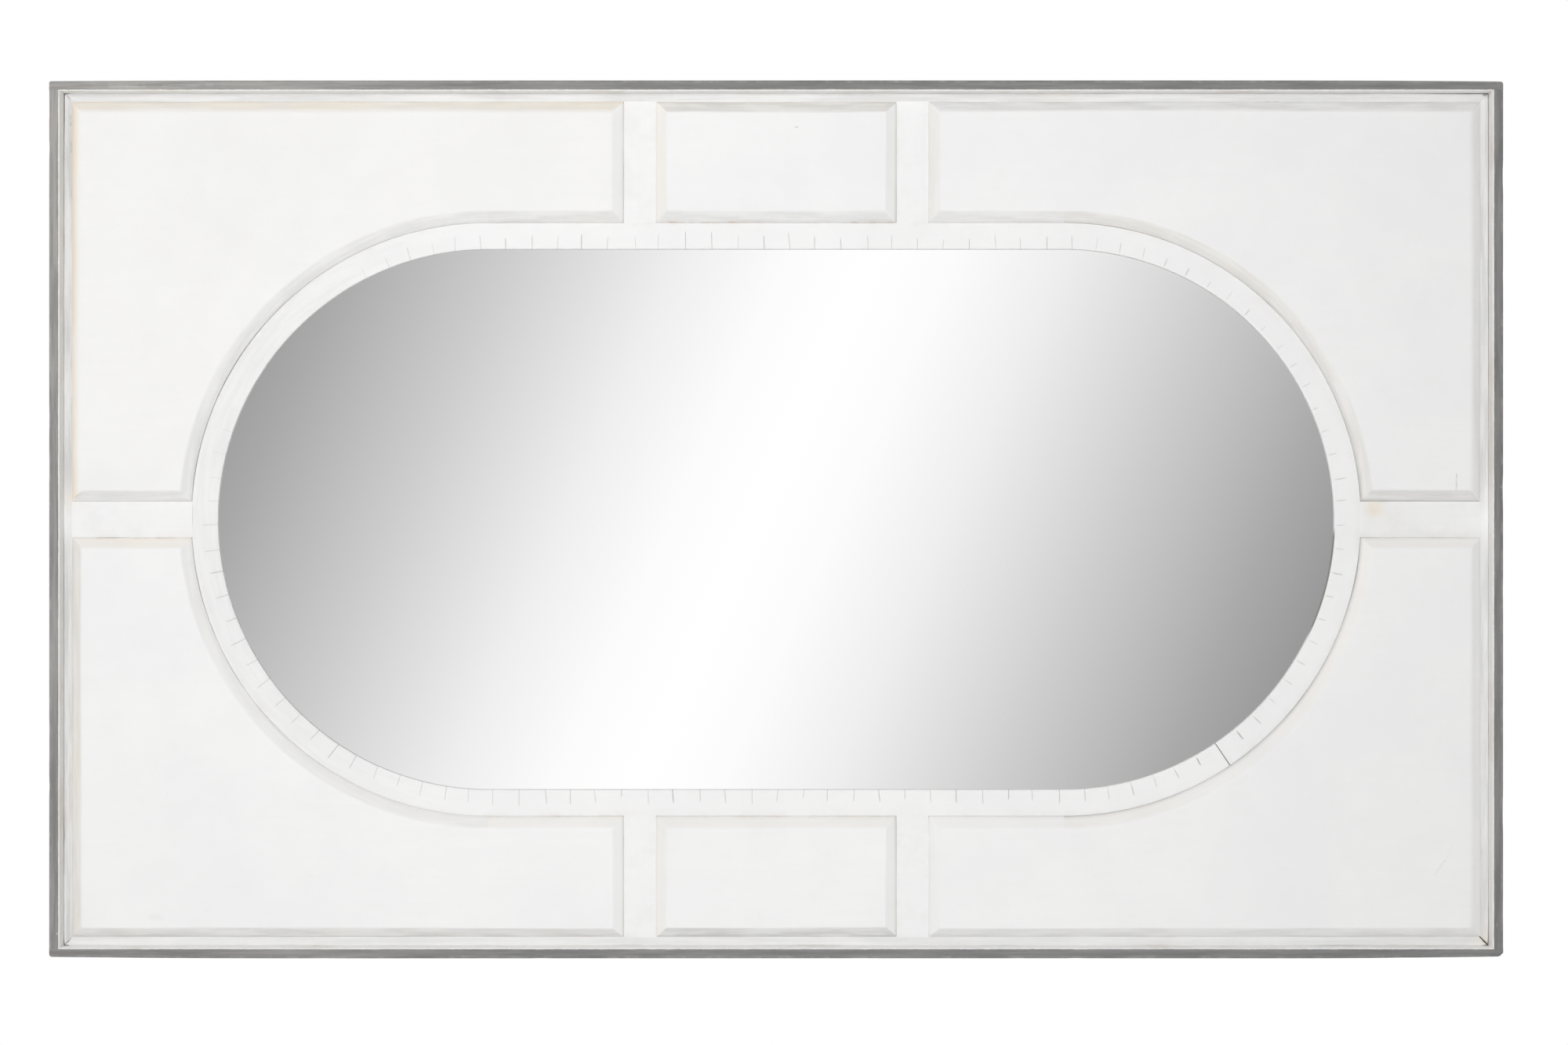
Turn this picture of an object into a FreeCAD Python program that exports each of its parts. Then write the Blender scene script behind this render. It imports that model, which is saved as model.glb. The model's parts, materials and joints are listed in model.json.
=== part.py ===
import FreeCAD, Part
import math
import os

# Panelled wooden wall mirror. A shallow tray of edge boards holds a frame of flat members, bevelled panels
# and a kerf-bent ring that laps over the glass. The back is recessed and carries two strap hangers.
# Millimetres. X runs along the width, Z up the height, and the face looks along -Y.
# The origin is the middle of the mirror's box.

# Whole mirror
mirror_width = 1540.0
mirror_height = 930.0
mirror_depth = 40.0

# Tray of edge boards
edge_board_thickness = 11.0
edge_arris_radius = 1.5
tray_corner_radius = 4.0

# Face members: margin strips, stubs and ring share one thickness and one face
face_setback = 12.0
member_thickness = 2.5
shadow_gap = 1.0
margin_strip_width = 8.5
mitre_gap = 0.2
stub_width = 34.5
side_stub_height = 38.5
joint_gap = 0.2
side_band_width = 126.5
long_band_height = 128.5

# Bevelled panels
centre_panel_width = 256.0
panel_gap = 0.8
panel_edge_rise = 1.5
bevel_width = 12.0
bevel_height = 5.0

# Kerf-bent ring; the bands of panel round it set its length and its radius
ring_width = 28.0
kerf_pitch = 27.5
kerf_width = 1.0
kerf_length = 14.5
ring_joint_gap = 0.5
ring_joint_angle = -56.0

# Glass and the boards behind the face
glass_thickness = 4.0
glass_lap = 9.0
glass_side_clearance = 1.0
carrier_thickness = 14.5
carrier_fit = 0.2
back_board_thickness = 3.0
back_board_side_clearance = 2.0

# Brads and staples
hole_clearance = 0.1
brad_side = 1.6
panel_brad_length = 20.0
panel_brad_inset = 40.0
edge_brad_length = 32.0
corner_brad_length = 38.0
staple_crown = 12.0
staple_wire = 1.0
staple_leg_length = 9.0
staple_inset = 22.0

# Hangers: a strap with a rolled eye, and a D ring that swings in it
hanger_spacing = 900.0
hanger_below_top = 90.0
strap_width = 16.0
strap_end_margin = 9.0
strap_thickness = 1.2
strap_end_radius = 5.0
strap_screw_radius = 2.0
strap_screw_flats = 8
strap_screw_length = 12.0
strap_screw_head_radius = 3.6
strap_screw_head_height = 2.2
strap_screw_ring_room = 1.5
ring_stock = 2.4
ring_eye_clearance = 0.08
ring_eye_side_play = 0.6
ring_bend_radius = 4.0
ring_leg_length = 3.0
ring_rest_gap = 0.3

# Top of a pan head, as a share of its radius, and places of fasteners, as shares of the length they share out
head_top_share = 0.7
staple_row_shares = (-1.0, -0.5, 0.0, 0.5, 1.0)
long_brad_shares = (-0.8, -0.27, 0.27, 0.8)
short_brad_shares = (-0.6, 0.0, 0.6)
corner_brad_shares = (-0.5, 0.5)
centre_brad_shares = (-0.5, 0.5)

# Planes across the depth, from the front to the wall
front_y = -mirror_depth / 2
wall_y = mirror_depth / 2
face_y = front_y + face_setback
carrier_front_y = face_y + member_thickness
panel_edge_y = face_y - panel_edge_rise
field_y = panel_edge_y - bevel_height
carrier_back_y = carrier_front_y + carrier_thickness
glass_back_y = carrier_front_y + glass_thickness
back_face_y = carrier_back_y + back_board_thickness
edge_brad_y = (carrier_front_y + carrier_back_y) / 2

# Outlines of the face
half_width = mirror_width / 2
half_height = mirror_height / 2
inner_half_width = half_width - edge_board_thickness
inner_half_height = half_height - edge_board_thickness
margin_outer_x = inner_half_width - shadow_gap
margin_outer_z = inner_half_height - shadow_gap
zone_half_width = margin_outer_x - margin_strip_width
zone_half_height = margin_outer_z - margin_strip_width
stub_inner_x = centre_panel_width / 2
stub_outer_x = stub_inner_x + stub_width
side_stub_half = side_stub_height / 2
ring_outer_radius = zone_half_height - long_band_height
ring_sight_radius = ring_outer_radius - ring_width
ring_half_straight = zone_half_width - side_band_width - ring_outer_radius
ring_straight_length = 2 * ring_half_straight
glass_radius = ring_sight_radius + glass_lap

# Hanger places; the ring's square bar turns in the round eye on its corners
hanger_x = hanger_spacing / 2
ring_half_stock = ring_stock / 2
eye_bore_radius = math.hypot(ring_half_stock, ring_half_stock) + ring_eye_clearance
eye_radius = eye_bore_radius + strap_thickness
eye_y = back_face_y + eye_radius
eye_z = half_height - hanger_below_top
ring_half_width = strap_width / 2 + ring_eye_side_play + ring_bend_radius
ring_reach = ring_bend_radius + ring_leg_length + ring_half_width + ring_half_stock
ring_lean = math.asin((eye_radius - ring_half_stock - ring_rest_gap) / ring_reach)
strap_near_screw = (eye_radius + ring_reach - ring_stock) / 2
strap_far_screw = ring_reach + strap_screw_ring_room + strap_screw_head_radius
strap_length = strap_far_screw + strap_end_margin

SIDES = {"left": -1, "right": 1}
LEVELS = {"bottom": -1, "top": 1}
ALONG_X = FreeCAD.Vector(1, 0, 0)
ALONG_Y = FreeCAD.Vector(0, 1, 0)
ALONG_Z = FreeCAD.Vector(0, 0, 1)


def at(x, y, z):
    return FreeCAD.Vector(x, y, z)


def block(low, high):
    return Part.makeBox(high[0] - low[0], high[1] - low[1], high[2] - low[2], at(*low))


def line(start, end, y):
    return Part.LineSegment(at(start[0], y, start[1]), at(end[0], y, end[1])).toShape()


def arc(start, middle, end, y):
    return Part.Arc(at(start[0], y, start[1]), at(middle[0], y, middle[1]), at(end[0], y, end[1])).toShape()


def polygon(points, y):
    return Part.Wire([line(a, b, y) for a, b in zip(points, points[1:] + points[:1])])


def slab(wire, depth):
    return Part.Face(wire).extrude(at(0, depth, 0))


def flipped(shape, side, level):
    """The shape of the right upper quarter, mirrored to another quarter."""
    if side < 0:
        shape = shape.mirror(at(0, 0, 0), ALONG_X)
    if level < 0:
        shape = shape.mirror(at(0, 0, 0), ALONG_Z)
    return shape


def picked_edges(shape, wanted):
    """Those edges of the shape that the test picks by their middle point."""
    return [e for e in shape.Edges if wanted(e.valueAt((e.FirstParameter + e.LastParameter) / 2), e)]


def rounded(shape, radius, wanted):
    return shape.makeFillet(radius, picked_edges(shape, wanted))


def runs_along(edge, direction):
    return edge.tangentAt(edge.FirstParameter).cross(direction).Length < Part.Precision.angular()


def racetrack_wire(radius, y):
    h = ring_half_straight
    return Part.Wire([
        line((-h, radius), (h, radius), y),
        arc((h, radius), (h + radius, 0), (h, -radius), y),
        line((h, -radius), (-h, -radius), y),
        arc((-h, -radius), (-h - radius, 0), (-h, radius), y),
    ])


def racetrack(radius, front, back):
    return slab(racetrack_wire(radius, front), back - front)


def place_on_ring(run):
    """Foot and outward direction on the racetrack, at a run along its outer edge.

    The run starts at the left end of the upper straight and goes clockwise.
    """
    arc_length = math.pi * ring_outer_radius
    if run < ring_straight_length:
        return at(run - ring_half_straight, 0, 0), ALONG_Z
    run -= ring_straight_length
    if run < arc_length:
        turn = math.pi / 2 - run / ring_outer_radius
        return at(ring_half_straight, 0, 0), at(math.cos(turn), 0, math.sin(turn))
    run -= arc_length
    if run < ring_straight_length:
        return at(ring_half_straight - run, 0, 0), -ALONG_Z
    turn = -math.pi / 2 - (run - ring_straight_length) / ring_outer_radius
    return at(-ring_half_straight, 0, 0), at(math.cos(turn), 0, math.sin(turn))


def radial_slot(foot, outward, near, far, width):
    """A slot through the ring's thickness, from one radius to another."""
    across = outward.cross(ALONG_Y) * (width / 2)
    corners = [foot + outward * near + across, foot + outward * far + across,
               foot + outward * far - across, foot + outward * near - across]
    return slab(polygon([(c.x, c.z) for c in corners], face_y), member_thickness)


def brad(start, direction, length, spare=0.0):
    """A square brad, flush at its start; the spare widens and lengthens it into its hole."""
    half = brad_side / 2 + spare
    end = start + direction * (length + spare)
    across = at(*(half * (1 - abs(d)) for d in direction))
    low = at(*(min(a, b) for a, b in zip(start, end))) - across
    high = at(*(max(a, b) for a, b in zip(start, end))) + across
    return block(low, high)


def staple_legs(x, z, upright, spare=0.0):
    """The two legs of a staple in the back; the spare widens and lengthens them into their holes."""
    reach = (staple_crown - staple_wire) / 2
    half = staple_wire / 2 + spare
    tip_y = back_face_y - staple_leg_length - spare
    legs = []
    for way in (-reach, reach):
        leg_x, leg_z = (x, z + way) if upright else (x + way, z)
        legs.append(block((leg_x - half, tip_y, leg_z - half), (leg_x + half, back_face_y, leg_z + half)))
    return legs


def staple(x, z, upright):
    """A staple with its crown flat on the back board."""
    along = staple_crown / 2
    thick = staple_wire / 2
    half_x, half_z = (thick, along) if upright else (along, thick)
    crown = block((x - half_x, back_face_y, z - half_z), (x + half_x, back_face_y + staple_wire, z + half_z))
    return crown.fuse(staple_legs(x, z, upright)).removeSplitter()


def screw_shank(x, z, radius, tip_y, end_y):
    """The shank of a screw, or the room for one, drawn with a few flats."""
    turns = [2 * math.pi * number / strap_screw_flats for number in range(strap_screw_flats)]
    corners = [(x + radius * math.cos(turn), z + radius * math.sin(turn)) for turn in turns]
    return slab(polygon(corners, tip_y), end_y - tip_y)


def strap_screw(x, z):
    """A pan-head screw that holds a strap to the back."""
    seat = back_face_y + strap_thickness
    shank = screw_shank(x, z, strap_screw_radius, seat - strap_screw_length, seat)
    head = Part.makeCone(strap_screw_head_radius, strap_screw_head_radius * head_top_share,
                         strap_screw_head_height, at(x, seat, z), ALONG_Y)
    return shank.fuse(head).removeSplitter()


def strap_screw_holes():
    """Room for the straps' screws, from their tips to the straps' backs."""
    seat = back_face_y + strap_thickness
    tip_y = seat - strap_screw_length - hole_clearance
    radius = strap_screw_radius + hole_clearance
    return [screw_shank(x, z, radius, tip_y, seat) for x, z in strap_screw_places()]


def edge_brad_places():
    """Start and direction of each brad from an edge board into the carrier."""
    places = []
    for level in LEVELS.values():
        for share in long_brad_shares:
            places.append((at(share * half_width, edge_brad_y, level * half_height), ALONG_Z * -level))
    for side in SIDES.values():
        for share in short_brad_shares:
            places.append((at(side * half_width, edge_brad_y, share * half_height), ALONG_X * -side))
    return places


def corner_brad_places():
    """Start and direction of each brad from a long edge board into the end of a short one."""
    board_middle_x = half_width - edge_board_thickness / 2
    return [(at(side * board_middle_x, share * mirror_depth / 2, level * half_height), ALONG_Z * -level)
            for side in SIDES.values() for level in LEVELS.values() for share in corner_brad_shares]


def panel_brad_places():
    """Start and direction of each brad from the carrier's back into a panel."""
    left = stub_outer_x + panel_brad_inset
    right = zone_half_width - panel_brad_inset
    top = zone_half_height - panel_brad_inset
    low = side_stub_half + panel_brad_inset
    middle_z = (ring_outer_radius + zone_half_height) / 2
    spots = [(side * x, z) for side in SIDES.values() for x, z in ((left, top), (right, top), (right, low))]
    spots += [(share * stub_inner_x, middle_z) for share in centre_brad_shares]
    return [(at(x, carrier_back_y, level * z), -ALONG_Y) for level in LEVELS.values() for x, z in spots]


def brads(places, length, spare=0.0):
    return [brad(start, way, length, spare) for start, way in places]


def staple_places():
    """Middle of each staple, and whether its crown stands upright."""
    row_x = inner_half_width - back_board_side_clearance - staple_inset
    row_z = inner_half_height - back_board_side_clearance - staple_inset
    rows = [(share * row_x, level * row_z, False) for level in LEVELS.values() for share in staple_row_shares]
    return rows + [(side * row_x, 0, True) for side in SIDES.values()]


def strap_screw_places():
    return [(side * hanger_x, eye_z - drop)
            for side in SIDES.values() for drop in (strap_near_screw, strap_far_screw)]


def edge_boards():
    """Long boards over and under, short boards butted between them, with eased front arrises."""
    boards = {}
    long_board = block((-half_width, front_y, inner_half_height), (half_width, wall_y, half_height))
    long_board = rounded(long_board, tray_corner_radius,
                         lambda p, e: runs_along(e, ALONG_Y) and p.z > (half_height + inner_half_height) / 2)
    long_board = rounded(long_board, edge_arris_radius,
                         lambda p, e: p.y < front_y + edge_arris_radius / 2
                         and p.z > inner_half_height + edge_arris_radius / 2)
    short_board = block((inner_half_width, front_y, -inner_half_height),
                        (half_width, wall_y, inner_half_height))
    short_board = rounded(short_board, edge_arris_radius,
                          lambda p, e: runs_along(e, ALONG_Z) and p.y < front_y + edge_arris_radius / 2
                          and p.x > (half_width + inner_half_width) / 2)
    holes = brads(edge_brad_places(), edge_brad_length, hole_clearance)
    holes += brads(corner_brad_places(), corner_brad_length, hole_clearance)
    for name, level in LEVELS.items():
        boards["edge_board_" + name] = flipped(long_board, 1, level).cut(holes)
    for name, side in SIDES.items():
        boards["edge_board_" + name] = flipped(short_board, side, 1).cut(holes)
    return boards


def margin_strips():
    """Mitred strips round the panels, standing off the tray's walls by the shadow gap."""
    strips = {}
    cut = mitre_gap / 2
    top = [(-margin_outer_x + cut, margin_outer_z), (margin_outer_x - cut, margin_outer_z),
           (zone_half_width - cut, zone_half_height), (-zone_half_width + cut, zone_half_height)]
    side = [(margin_outer_x, margin_outer_z - cut), (margin_outer_x, -margin_outer_z + cut),
            (zone_half_width, -zone_half_height + cut), (zone_half_width, zone_half_height - cut)]
    long_strip = slab(polygon(top, face_y), member_thickness)
    short_strip = slab(polygon(side, face_y), member_thickness)
    for name, level in LEVELS.items():
        strips["margin_strip_" + name] = flipped(long_strip, 1, level)
    for name, way in SIDES.items():
        strips["margin_strip_" + name] = flipped(short_strip, way, 1)
    return strips


def stubs():
    """Short members from the ring out to the margin strips; the side ones are coped to the ring's arc."""
    members = {}
    upright = block((stub_inner_x, face_y, ring_outer_radius + joint_gap),
                    (stub_outer_x, carrier_front_y, zone_half_height - joint_gap))
    for level_name, level in LEVELS.items():
        for side_name, side in SIDES.items():
            members["stub_" + level_name + "_" + side_name] = flipped(upright, side, level)
    cope = ring_outer_radius + joint_gap
    near_x = ring_half_straight + math.sqrt(cope ** 2 - side_stub_half ** 2)
    far_x = zone_half_width - joint_gap
    outline = Part.Wire([
        line((near_x, side_stub_half), (far_x, side_stub_half), face_y),
        line((far_x, side_stub_half), (far_x, -side_stub_half), face_y),
        line((far_x, -side_stub_half), (near_x, -side_stub_half), face_y),
        arc((near_x, -side_stub_half), (ring_half_straight + cope, 0), (near_x, side_stub_half), face_y),
    ])
    for name, side in SIDES.items():
        members["side_stub_" + name] = flipped(slab(outline, member_thickness), side, 1)
    return members


def corner_outline(inset, y):
    """Outline of the right upper corner panel, drawn in by an inset; one side stays parallel to the ring."""
    inset = inset + panel_gap
    left = stub_outer_x + inset
    right = zone_half_width - inset
    top = zone_half_height - inset
    low = side_stub_half + inset
    radius = ring_outer_radius + inset
    foot_x = ring_half_straight + math.sqrt(radius ** 2 - low ** 2)
    middle_turn = (math.asin(low / radius) + math.pi / 2) / 2
    middle = (ring_half_straight + radius * math.cos(middle_turn), radius * math.sin(middle_turn))
    return Part.Wire([
        line((left, radius), (ring_half_straight, radius), y),
        arc((ring_half_straight, radius), middle, (foot_x, low), y),
        line((foot_x, low), (right, low), y),
        line((right, low), (right, top), y),
        line((right, top), (left, top), y),
        line((left, top), (left, radius), y),
    ])


def centre_outline(inset, y):
    inset = inset + panel_gap
    x = stub_inner_x - inset
    return polygon([(-x, ring_outer_radius + inset), (x, ring_outer_radius + inset),
                    (x, zone_half_height - inset), (-x, zone_half_height - inset)], y)


def bevelled_panel(outline):
    """A board with its front edges bevelled down from a flat field."""
    base = slab(outline(0, panel_edge_y), carrier_front_y - panel_edge_y)
    bevel = Part.makeLoft([outline(0, panel_edge_y), outline(bevel_width, field_y)], True, True)
    return base.fuse(bevel).removeSplitter()


def panels():
    pieces = {}
    holes = brads(panel_brad_places(), panel_brad_length, hole_clearance)
    corner = bevelled_panel(corner_outline)
    centre = bevelled_panel(centre_outline)
    for level_name, level in LEVELS.items():
        for side_name, side in SIDES.items():
            pieces["corner_panel_" + level_name + "_" + side_name] = flipped(corner, side, level).cut(holes)
        pieces["centre_panel_" + level_name] = flipped(centre, 1, level).cut(holes)
    return pieces


def kerfed_ring():
    """One strip bent round the glass, sawn with kerfs at an even pitch and closed by one butt joint."""
    ring = racetrack(ring_outer_radius, face_y, carrier_front_y)
    ring = ring.cut(racetrack(ring_sight_radius, face_y, carrier_front_y))
    outer_length = 2 * ring_straight_length + 2 * math.pi * ring_outer_radius
    kerf_count = round(outer_length / kerf_pitch)
    pitch = outer_length / kerf_count
    joint_run = ring_straight_length + (math.pi / 2 - math.radians(ring_joint_angle)) * ring_outer_radius
    inside = ring_sight_radius - ring_width
    slots = []
    for number in range(1, kerf_count):
        foot, outward = place_on_ring((joint_run + number * pitch) % outer_length)
        slots.append(radial_slot(foot, outward, inside, ring_sight_radius + kerf_length, kerf_width))
    foot, outward = place_on_ring(joint_run)
    slots.append(radial_slot(foot, outward, inside, ring_outer_radius + ring_width, ring_joint_gap))
    return ring.cut(slots)


def glass_and_boards():
    """Carrier board with its cut-out, glass and pad in the cut-out, and the board that closes the back."""
    carrier = block((-inner_half_width + carrier_fit, carrier_front_y, -inner_half_height + carrier_fit),
                    (inner_half_width - carrier_fit, carrier_back_y, inner_half_height - carrier_fit))
    cut_out = racetrack(glass_radius + glass_side_clearance, carrier_front_y, carrier_back_y)
    brad_holes = brads(panel_brad_places(), panel_brad_length, hole_clearance)
    brad_holes += brads(edge_brad_places(), edge_brad_length, hole_clearance)
    rear_holes = strap_screw_holes()
    for place in staple_places():
        rear_holes += staple_legs(*place, hole_clearance)
    side = inner_half_width - back_board_side_clearance
    top = inner_half_height - back_board_side_clearance
    back = block((-side, carrier_back_y, -top), (side, back_face_y, top))
    return {
        "carrier_board": carrier.cut([cut_out] + brad_holes + rear_holes),
        "mirror_glass": racetrack(glass_radius, carrier_front_y, glass_back_y),
        "glass_pad": racetrack(glass_radius, glass_back_y, carrier_back_y),
        "back_board": back.cut(rear_holes),
    }


def fasteners():
    return {
        "panel_brads": brads(panel_brad_places(), panel_brad_length),
        "edge_brads": brads(edge_brad_places(), edge_brad_length),
        "corner_brads": brads(corner_brad_places(), corner_brad_length),
        "back_board_staples": [staple(*place) for place in staple_places()],
        "hanger_screws": [strap_screw(x, z) for x, z in strap_screw_places()],
    }


def hanger_strap(side):
    """A strap flat on the back board, with its upper end rolled into an eye."""
    x = side * hanger_x
    half = strap_width / 2
    seat = back_face_y + strap_thickness
    plate = block((x - half, back_face_y, eye_z - strap_length), (x + half, seat, eye_z))
    plate = rounded(plate, strap_end_radius,
                    lambda p, e: runs_along(e, ALONG_Y) and p.z < eye_z - strap_length / 2)
    start = at(x - half, eye_y, eye_z)
    eye = Part.makeCylinder(eye_radius, strap_width, start, ALONG_X)
    bore = Part.makeCylinder(eye_bore_radius, strap_width, start, ALONG_X)
    return plate.fuse(eye).removeSplitter().cut([bore] + strap_screw_holes())


def hanger_ring_outline(spare):
    """A D outside or inside the middle of the ring's stock; its straight bar lies along X at the eye."""
    wide = ring_half_width + spare
    bend = ring_bend_radius + spare
    bar = ring_half_width - ring_bend_radius
    slant = bend * math.sin(math.pi / 4)
    foot = ring_bend_radius
    shoulder = ring_bend_radius + ring_leg_length
    y = -ring_half_stock
    return Part.Wire([
        line((-bar, -spare), (bar, -spare), y),
        arc((bar, -spare), (bar + slant, foot - slant), (wide, foot), y),
        line((wide, foot), (wide, shoulder), y),
        arc((wide, shoulder), (0, shoulder + wide), (-wide, shoulder), y),
        line((-wide, shoulder), (-wide, foot), y),
        arc((-wide, foot), (-bar - slant, foot - slant), (-bar, -spare), y),
    ])


def hanger_ring(side):
    """A stamped D of square stock whose bar lies in the strap's eye; it leans on the back board."""
    ring = slab(hanger_ring_outline(ring_half_stock), ring_stock)
    ring = ring.cut(slab(hanger_ring_outline(-ring_half_stock), ring_stock))
    ring.rotate(at(0, 0, 0), ALONG_X, math.degrees(ring_lean))
    ring.translate(at(side * hanger_x, eye_y, eye_z))
    return ring


def hangers():
    pieces = {}
    for name, side in SIDES.items():
        pieces["hanger_strap_" + name] = hanger_strap(side)
        pieces["hanger_ring_" + name] = hanger_ring(side)
    return pieces


def main():
    nodes = {"kerfed_ring": kerfed_ring()}
    for group in (edge_boards, margin_strips, stubs, panels, glass_and_boards, fasteners, hangers):
        nodes.update(group())
    os.makedirs("parts", exist_ok=True)
    for name, shape in nodes.items():
        solids = shape if isinstance(shape, list) else shape.Solids
        piece = solids[0] if len(solids) == 1 else Part.makeCompound(solids)
        piece.exportStep("parts/" + name + ".step")


main()
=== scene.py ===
import json
import logging
import math
from abc import ABC, abstractmethod
from dataclasses import astuple, dataclass
from enum import Enum
from functools import reduce
from typing import Callable, Sequence

import bmesh
import bpy
import numpy as np
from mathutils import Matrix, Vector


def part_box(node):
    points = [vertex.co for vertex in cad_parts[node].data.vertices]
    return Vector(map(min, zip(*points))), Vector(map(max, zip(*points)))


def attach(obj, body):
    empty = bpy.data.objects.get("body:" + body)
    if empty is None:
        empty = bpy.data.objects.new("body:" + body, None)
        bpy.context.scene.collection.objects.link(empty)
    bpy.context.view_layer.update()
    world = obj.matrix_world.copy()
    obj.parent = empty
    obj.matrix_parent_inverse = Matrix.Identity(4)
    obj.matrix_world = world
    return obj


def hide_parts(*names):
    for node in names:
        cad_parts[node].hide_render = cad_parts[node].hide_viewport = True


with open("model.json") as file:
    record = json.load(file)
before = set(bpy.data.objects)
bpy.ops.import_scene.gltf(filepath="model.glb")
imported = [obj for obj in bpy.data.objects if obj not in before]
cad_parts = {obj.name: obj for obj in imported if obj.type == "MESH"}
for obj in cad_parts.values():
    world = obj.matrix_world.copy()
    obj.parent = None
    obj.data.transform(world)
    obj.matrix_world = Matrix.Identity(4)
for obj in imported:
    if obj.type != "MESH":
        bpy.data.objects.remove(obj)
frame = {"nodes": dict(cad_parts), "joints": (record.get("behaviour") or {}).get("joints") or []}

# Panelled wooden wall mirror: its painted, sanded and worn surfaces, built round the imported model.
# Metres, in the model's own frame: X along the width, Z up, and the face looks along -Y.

LOG = logging.getLogger("mirror")
MIRROR_BODY = "mirror"
# glaze marks grey glaze and painted shade; kerf marks dark kerfs and painted shade lines at panel lips and
# the ring's right sight edge.
MARKS = ("edge", "glaze", "patina", "kerf", "inner", "run", "reach")
NUMBER, VECTOR = "NodeSocketFloat", "NodeSocketVector"
Colour = tuple[float, float, float, float]
Triple = tuple[float, float, float]
Material = bpy.types.Material
Node = bpy.types.Node
Socket = bpy.types.NodeSocket
Outputs = bpy.types.bpy_prop_collection
Array = np.ndarray
# A value at each place along or across a piece.
Course = Callable[[Array], Array]
QUARTER = math.pi / 2.0


class Way(Enum):
    """A direction across the face, with the sign of its coordinate there."""

    @property
    def word(self) -> str:
        """The direction's name inside a node's name."""
        return self.name.lower()


class Side(Way):
    """Left and right as seen from the front, along X."""
    LEFT = -1
    RIGHT = 1


class Level(Way):
    """Lower and upper half, along Z."""
    BOTTOM = -1
    TOP = 1


class Lie(Enum):
    """Which way a member runs."""
    ALONG_X = "x"
    ALONG_Z = "z"


class Flow(Enum):
    """What the brush followed when a piece was painted."""
    WIDTH = "width"
    HEIGHT = "height"
    STRIP = "strip"


class Rim(Enum):
    """Sides of a panel, by what lies beyond them."""
    RING = "ring"
    ARC = "arc"
    RAIL = "rail"
    OUTER = "outer"
    AWAY = "away"
    INNER = "inner"
    LEFT = "left"
    RIGHT = "right"


Corner = tuple[Side, Level]


def by_corner(*values: float) -> dict[Corner, float]:
    """Four values by corner: top left, top right, bottom left and bottom right."""
    return dict(zip(((side, level) for level in (Level.TOP, Level.BOTTOM) for side in Side), values))


@dataclass(frozen=True)
class Layout:
    """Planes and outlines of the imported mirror, read from its nodes."""
    half_width: float
    half_height: float
    board: float
    front: float
    wall: float
    face: float
    carrier: float
    back: float
    ring_outer: float
    half_straight: float

    @classmethod
    def from_frame(cls) -> "Layout":
        """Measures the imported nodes.

        Returns:
            The layout that every sub-assembly is built to.
        """
        board_low, board_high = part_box("edge_board_top")
        ring_low, ring_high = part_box("kerfed_ring")
        back_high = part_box("back_board")[1]
        return cls(
            half_width=board_high.x, half_height=board_high.z, board=board_high.z - board_low.z,
            front=board_low.y, wall=board_high.y, face=ring_low.y, carrier=ring_high.y, back=back_high.y,
            ring_outer=ring_high.z, half_straight=ring_high.x - ring_high.z)


def smooth_step(values: Array) -> Array:
    """Eases values from 0 to 1 as 3t^2 - 2t^3, held at 0 and 1 outside."""
    t = np.clip(values, 0.0, 1.0)
    return t * t * (3.0 - 2.0 * t)


def quarter_round(count: int) -> Array:
    """Two courses over a quarter turn: 1 less the cosine, and 1 less the sine, of its angles."""
    angles = np.linspace(0.0, QUARTER, count)
    return 1.0 - np.stack([np.cos(angles), np.sin(angles)])


def wander(run: Array, period: float, seed: int, waves: int = 6, gain: float = 1.6) -> Array:
    """A smooth hand-made wobble: a sum of sines whose wavelengths divide the period, about -1 to 1.

    Args:
        run: Distance along the piece.
        period: Distance after which the wobble repeats.
        seed: Which wobble.
        waves: How many sines are summed.
        gain: What brings the sum up to that range.

    Returns:
        The wobble at each distance.
    """
    rng = np.random.default_rng(seed)
    turns = rng.integers(1, 4, waves) * np.arange(1, waves + 1)
    phases = rng.uniform(0.0, 2.0 * math.pi, waves)
    sizes = 1.0 / np.arange(1, waves + 1)
    angles = 2.0 * math.pi * turns * (np.asarray(run)[..., None] / period) + phases
    return (np.sin(angles) * sizes).sum(-1) / sizes.sum() * gain


def rounded_section(low: Sequence[float], high: Sequence[float], radii: Sequence[float], steps: int = 4,
                    flats: int = 3) -> tuple[Array, Array]:
    """A rectangle with a quarter circle at each corner, walked round once.

    The corners come in the order high-low, low-low, low-high, high-high of the two coordinates; on each
    quarter circle a point is its centre plus the radius times the cosine and sine of a falling angle.

    Args:
        low: Lowest across and depth.
        high: Highest across and depth.
        radii: Radius of each corner, in that order.
        steps: Segments of a quarter circle.
        flats: Points inside each flat side.

    Returns:
        The points, and a mark that is 1 on the rounded corners and 0 on the flats.
    """
    signs = ((1, -1), (-1, -1), (-1, 1), (1, 1))
    starts = (0.0, -QUARTER, -math.pi, -1.5 * math.pi)
    arcs = []
    for (across, depth), start, radius in zip(signs, starts, radii):
        centre = np.array([(high if across > 0 else low)[0] - across * radius,
                           (high if depth > 0 else low)[1] - depth * radius])
        angles = start - np.linspace(0.0, QUARTER, steps + 1)
        arcs.append(centre + radius * np.stack([np.cos(angles), np.sin(angles)], -1))
    points, marks = [], []
    share = np.linspace(0.0, 1.0, flats + 2)[1:-1, None]
    for arc, following in zip(arcs, arcs[1:] + arcs[:1]):
        points += [arc, arc[-1] + (following[0] - arc[-1]) * share]
        marks += [np.ones(len(arc)), np.zeros(flats)]
    return np.concatenate(points), np.concatenate(marks)


def placed(name: str, data: bpy.types.ID) -> bpy.types.Object:
    """Makes an object and puts it into the scene.

    Args:
        name: Its name.
        data: Its mesh, lamp or lens.

    Returns:
        The object, at the origin.
    """
    made = bpy.data.objects.new(name, data)
    bpy.context.scene.collection.objects.link(made)
    return made


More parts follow.
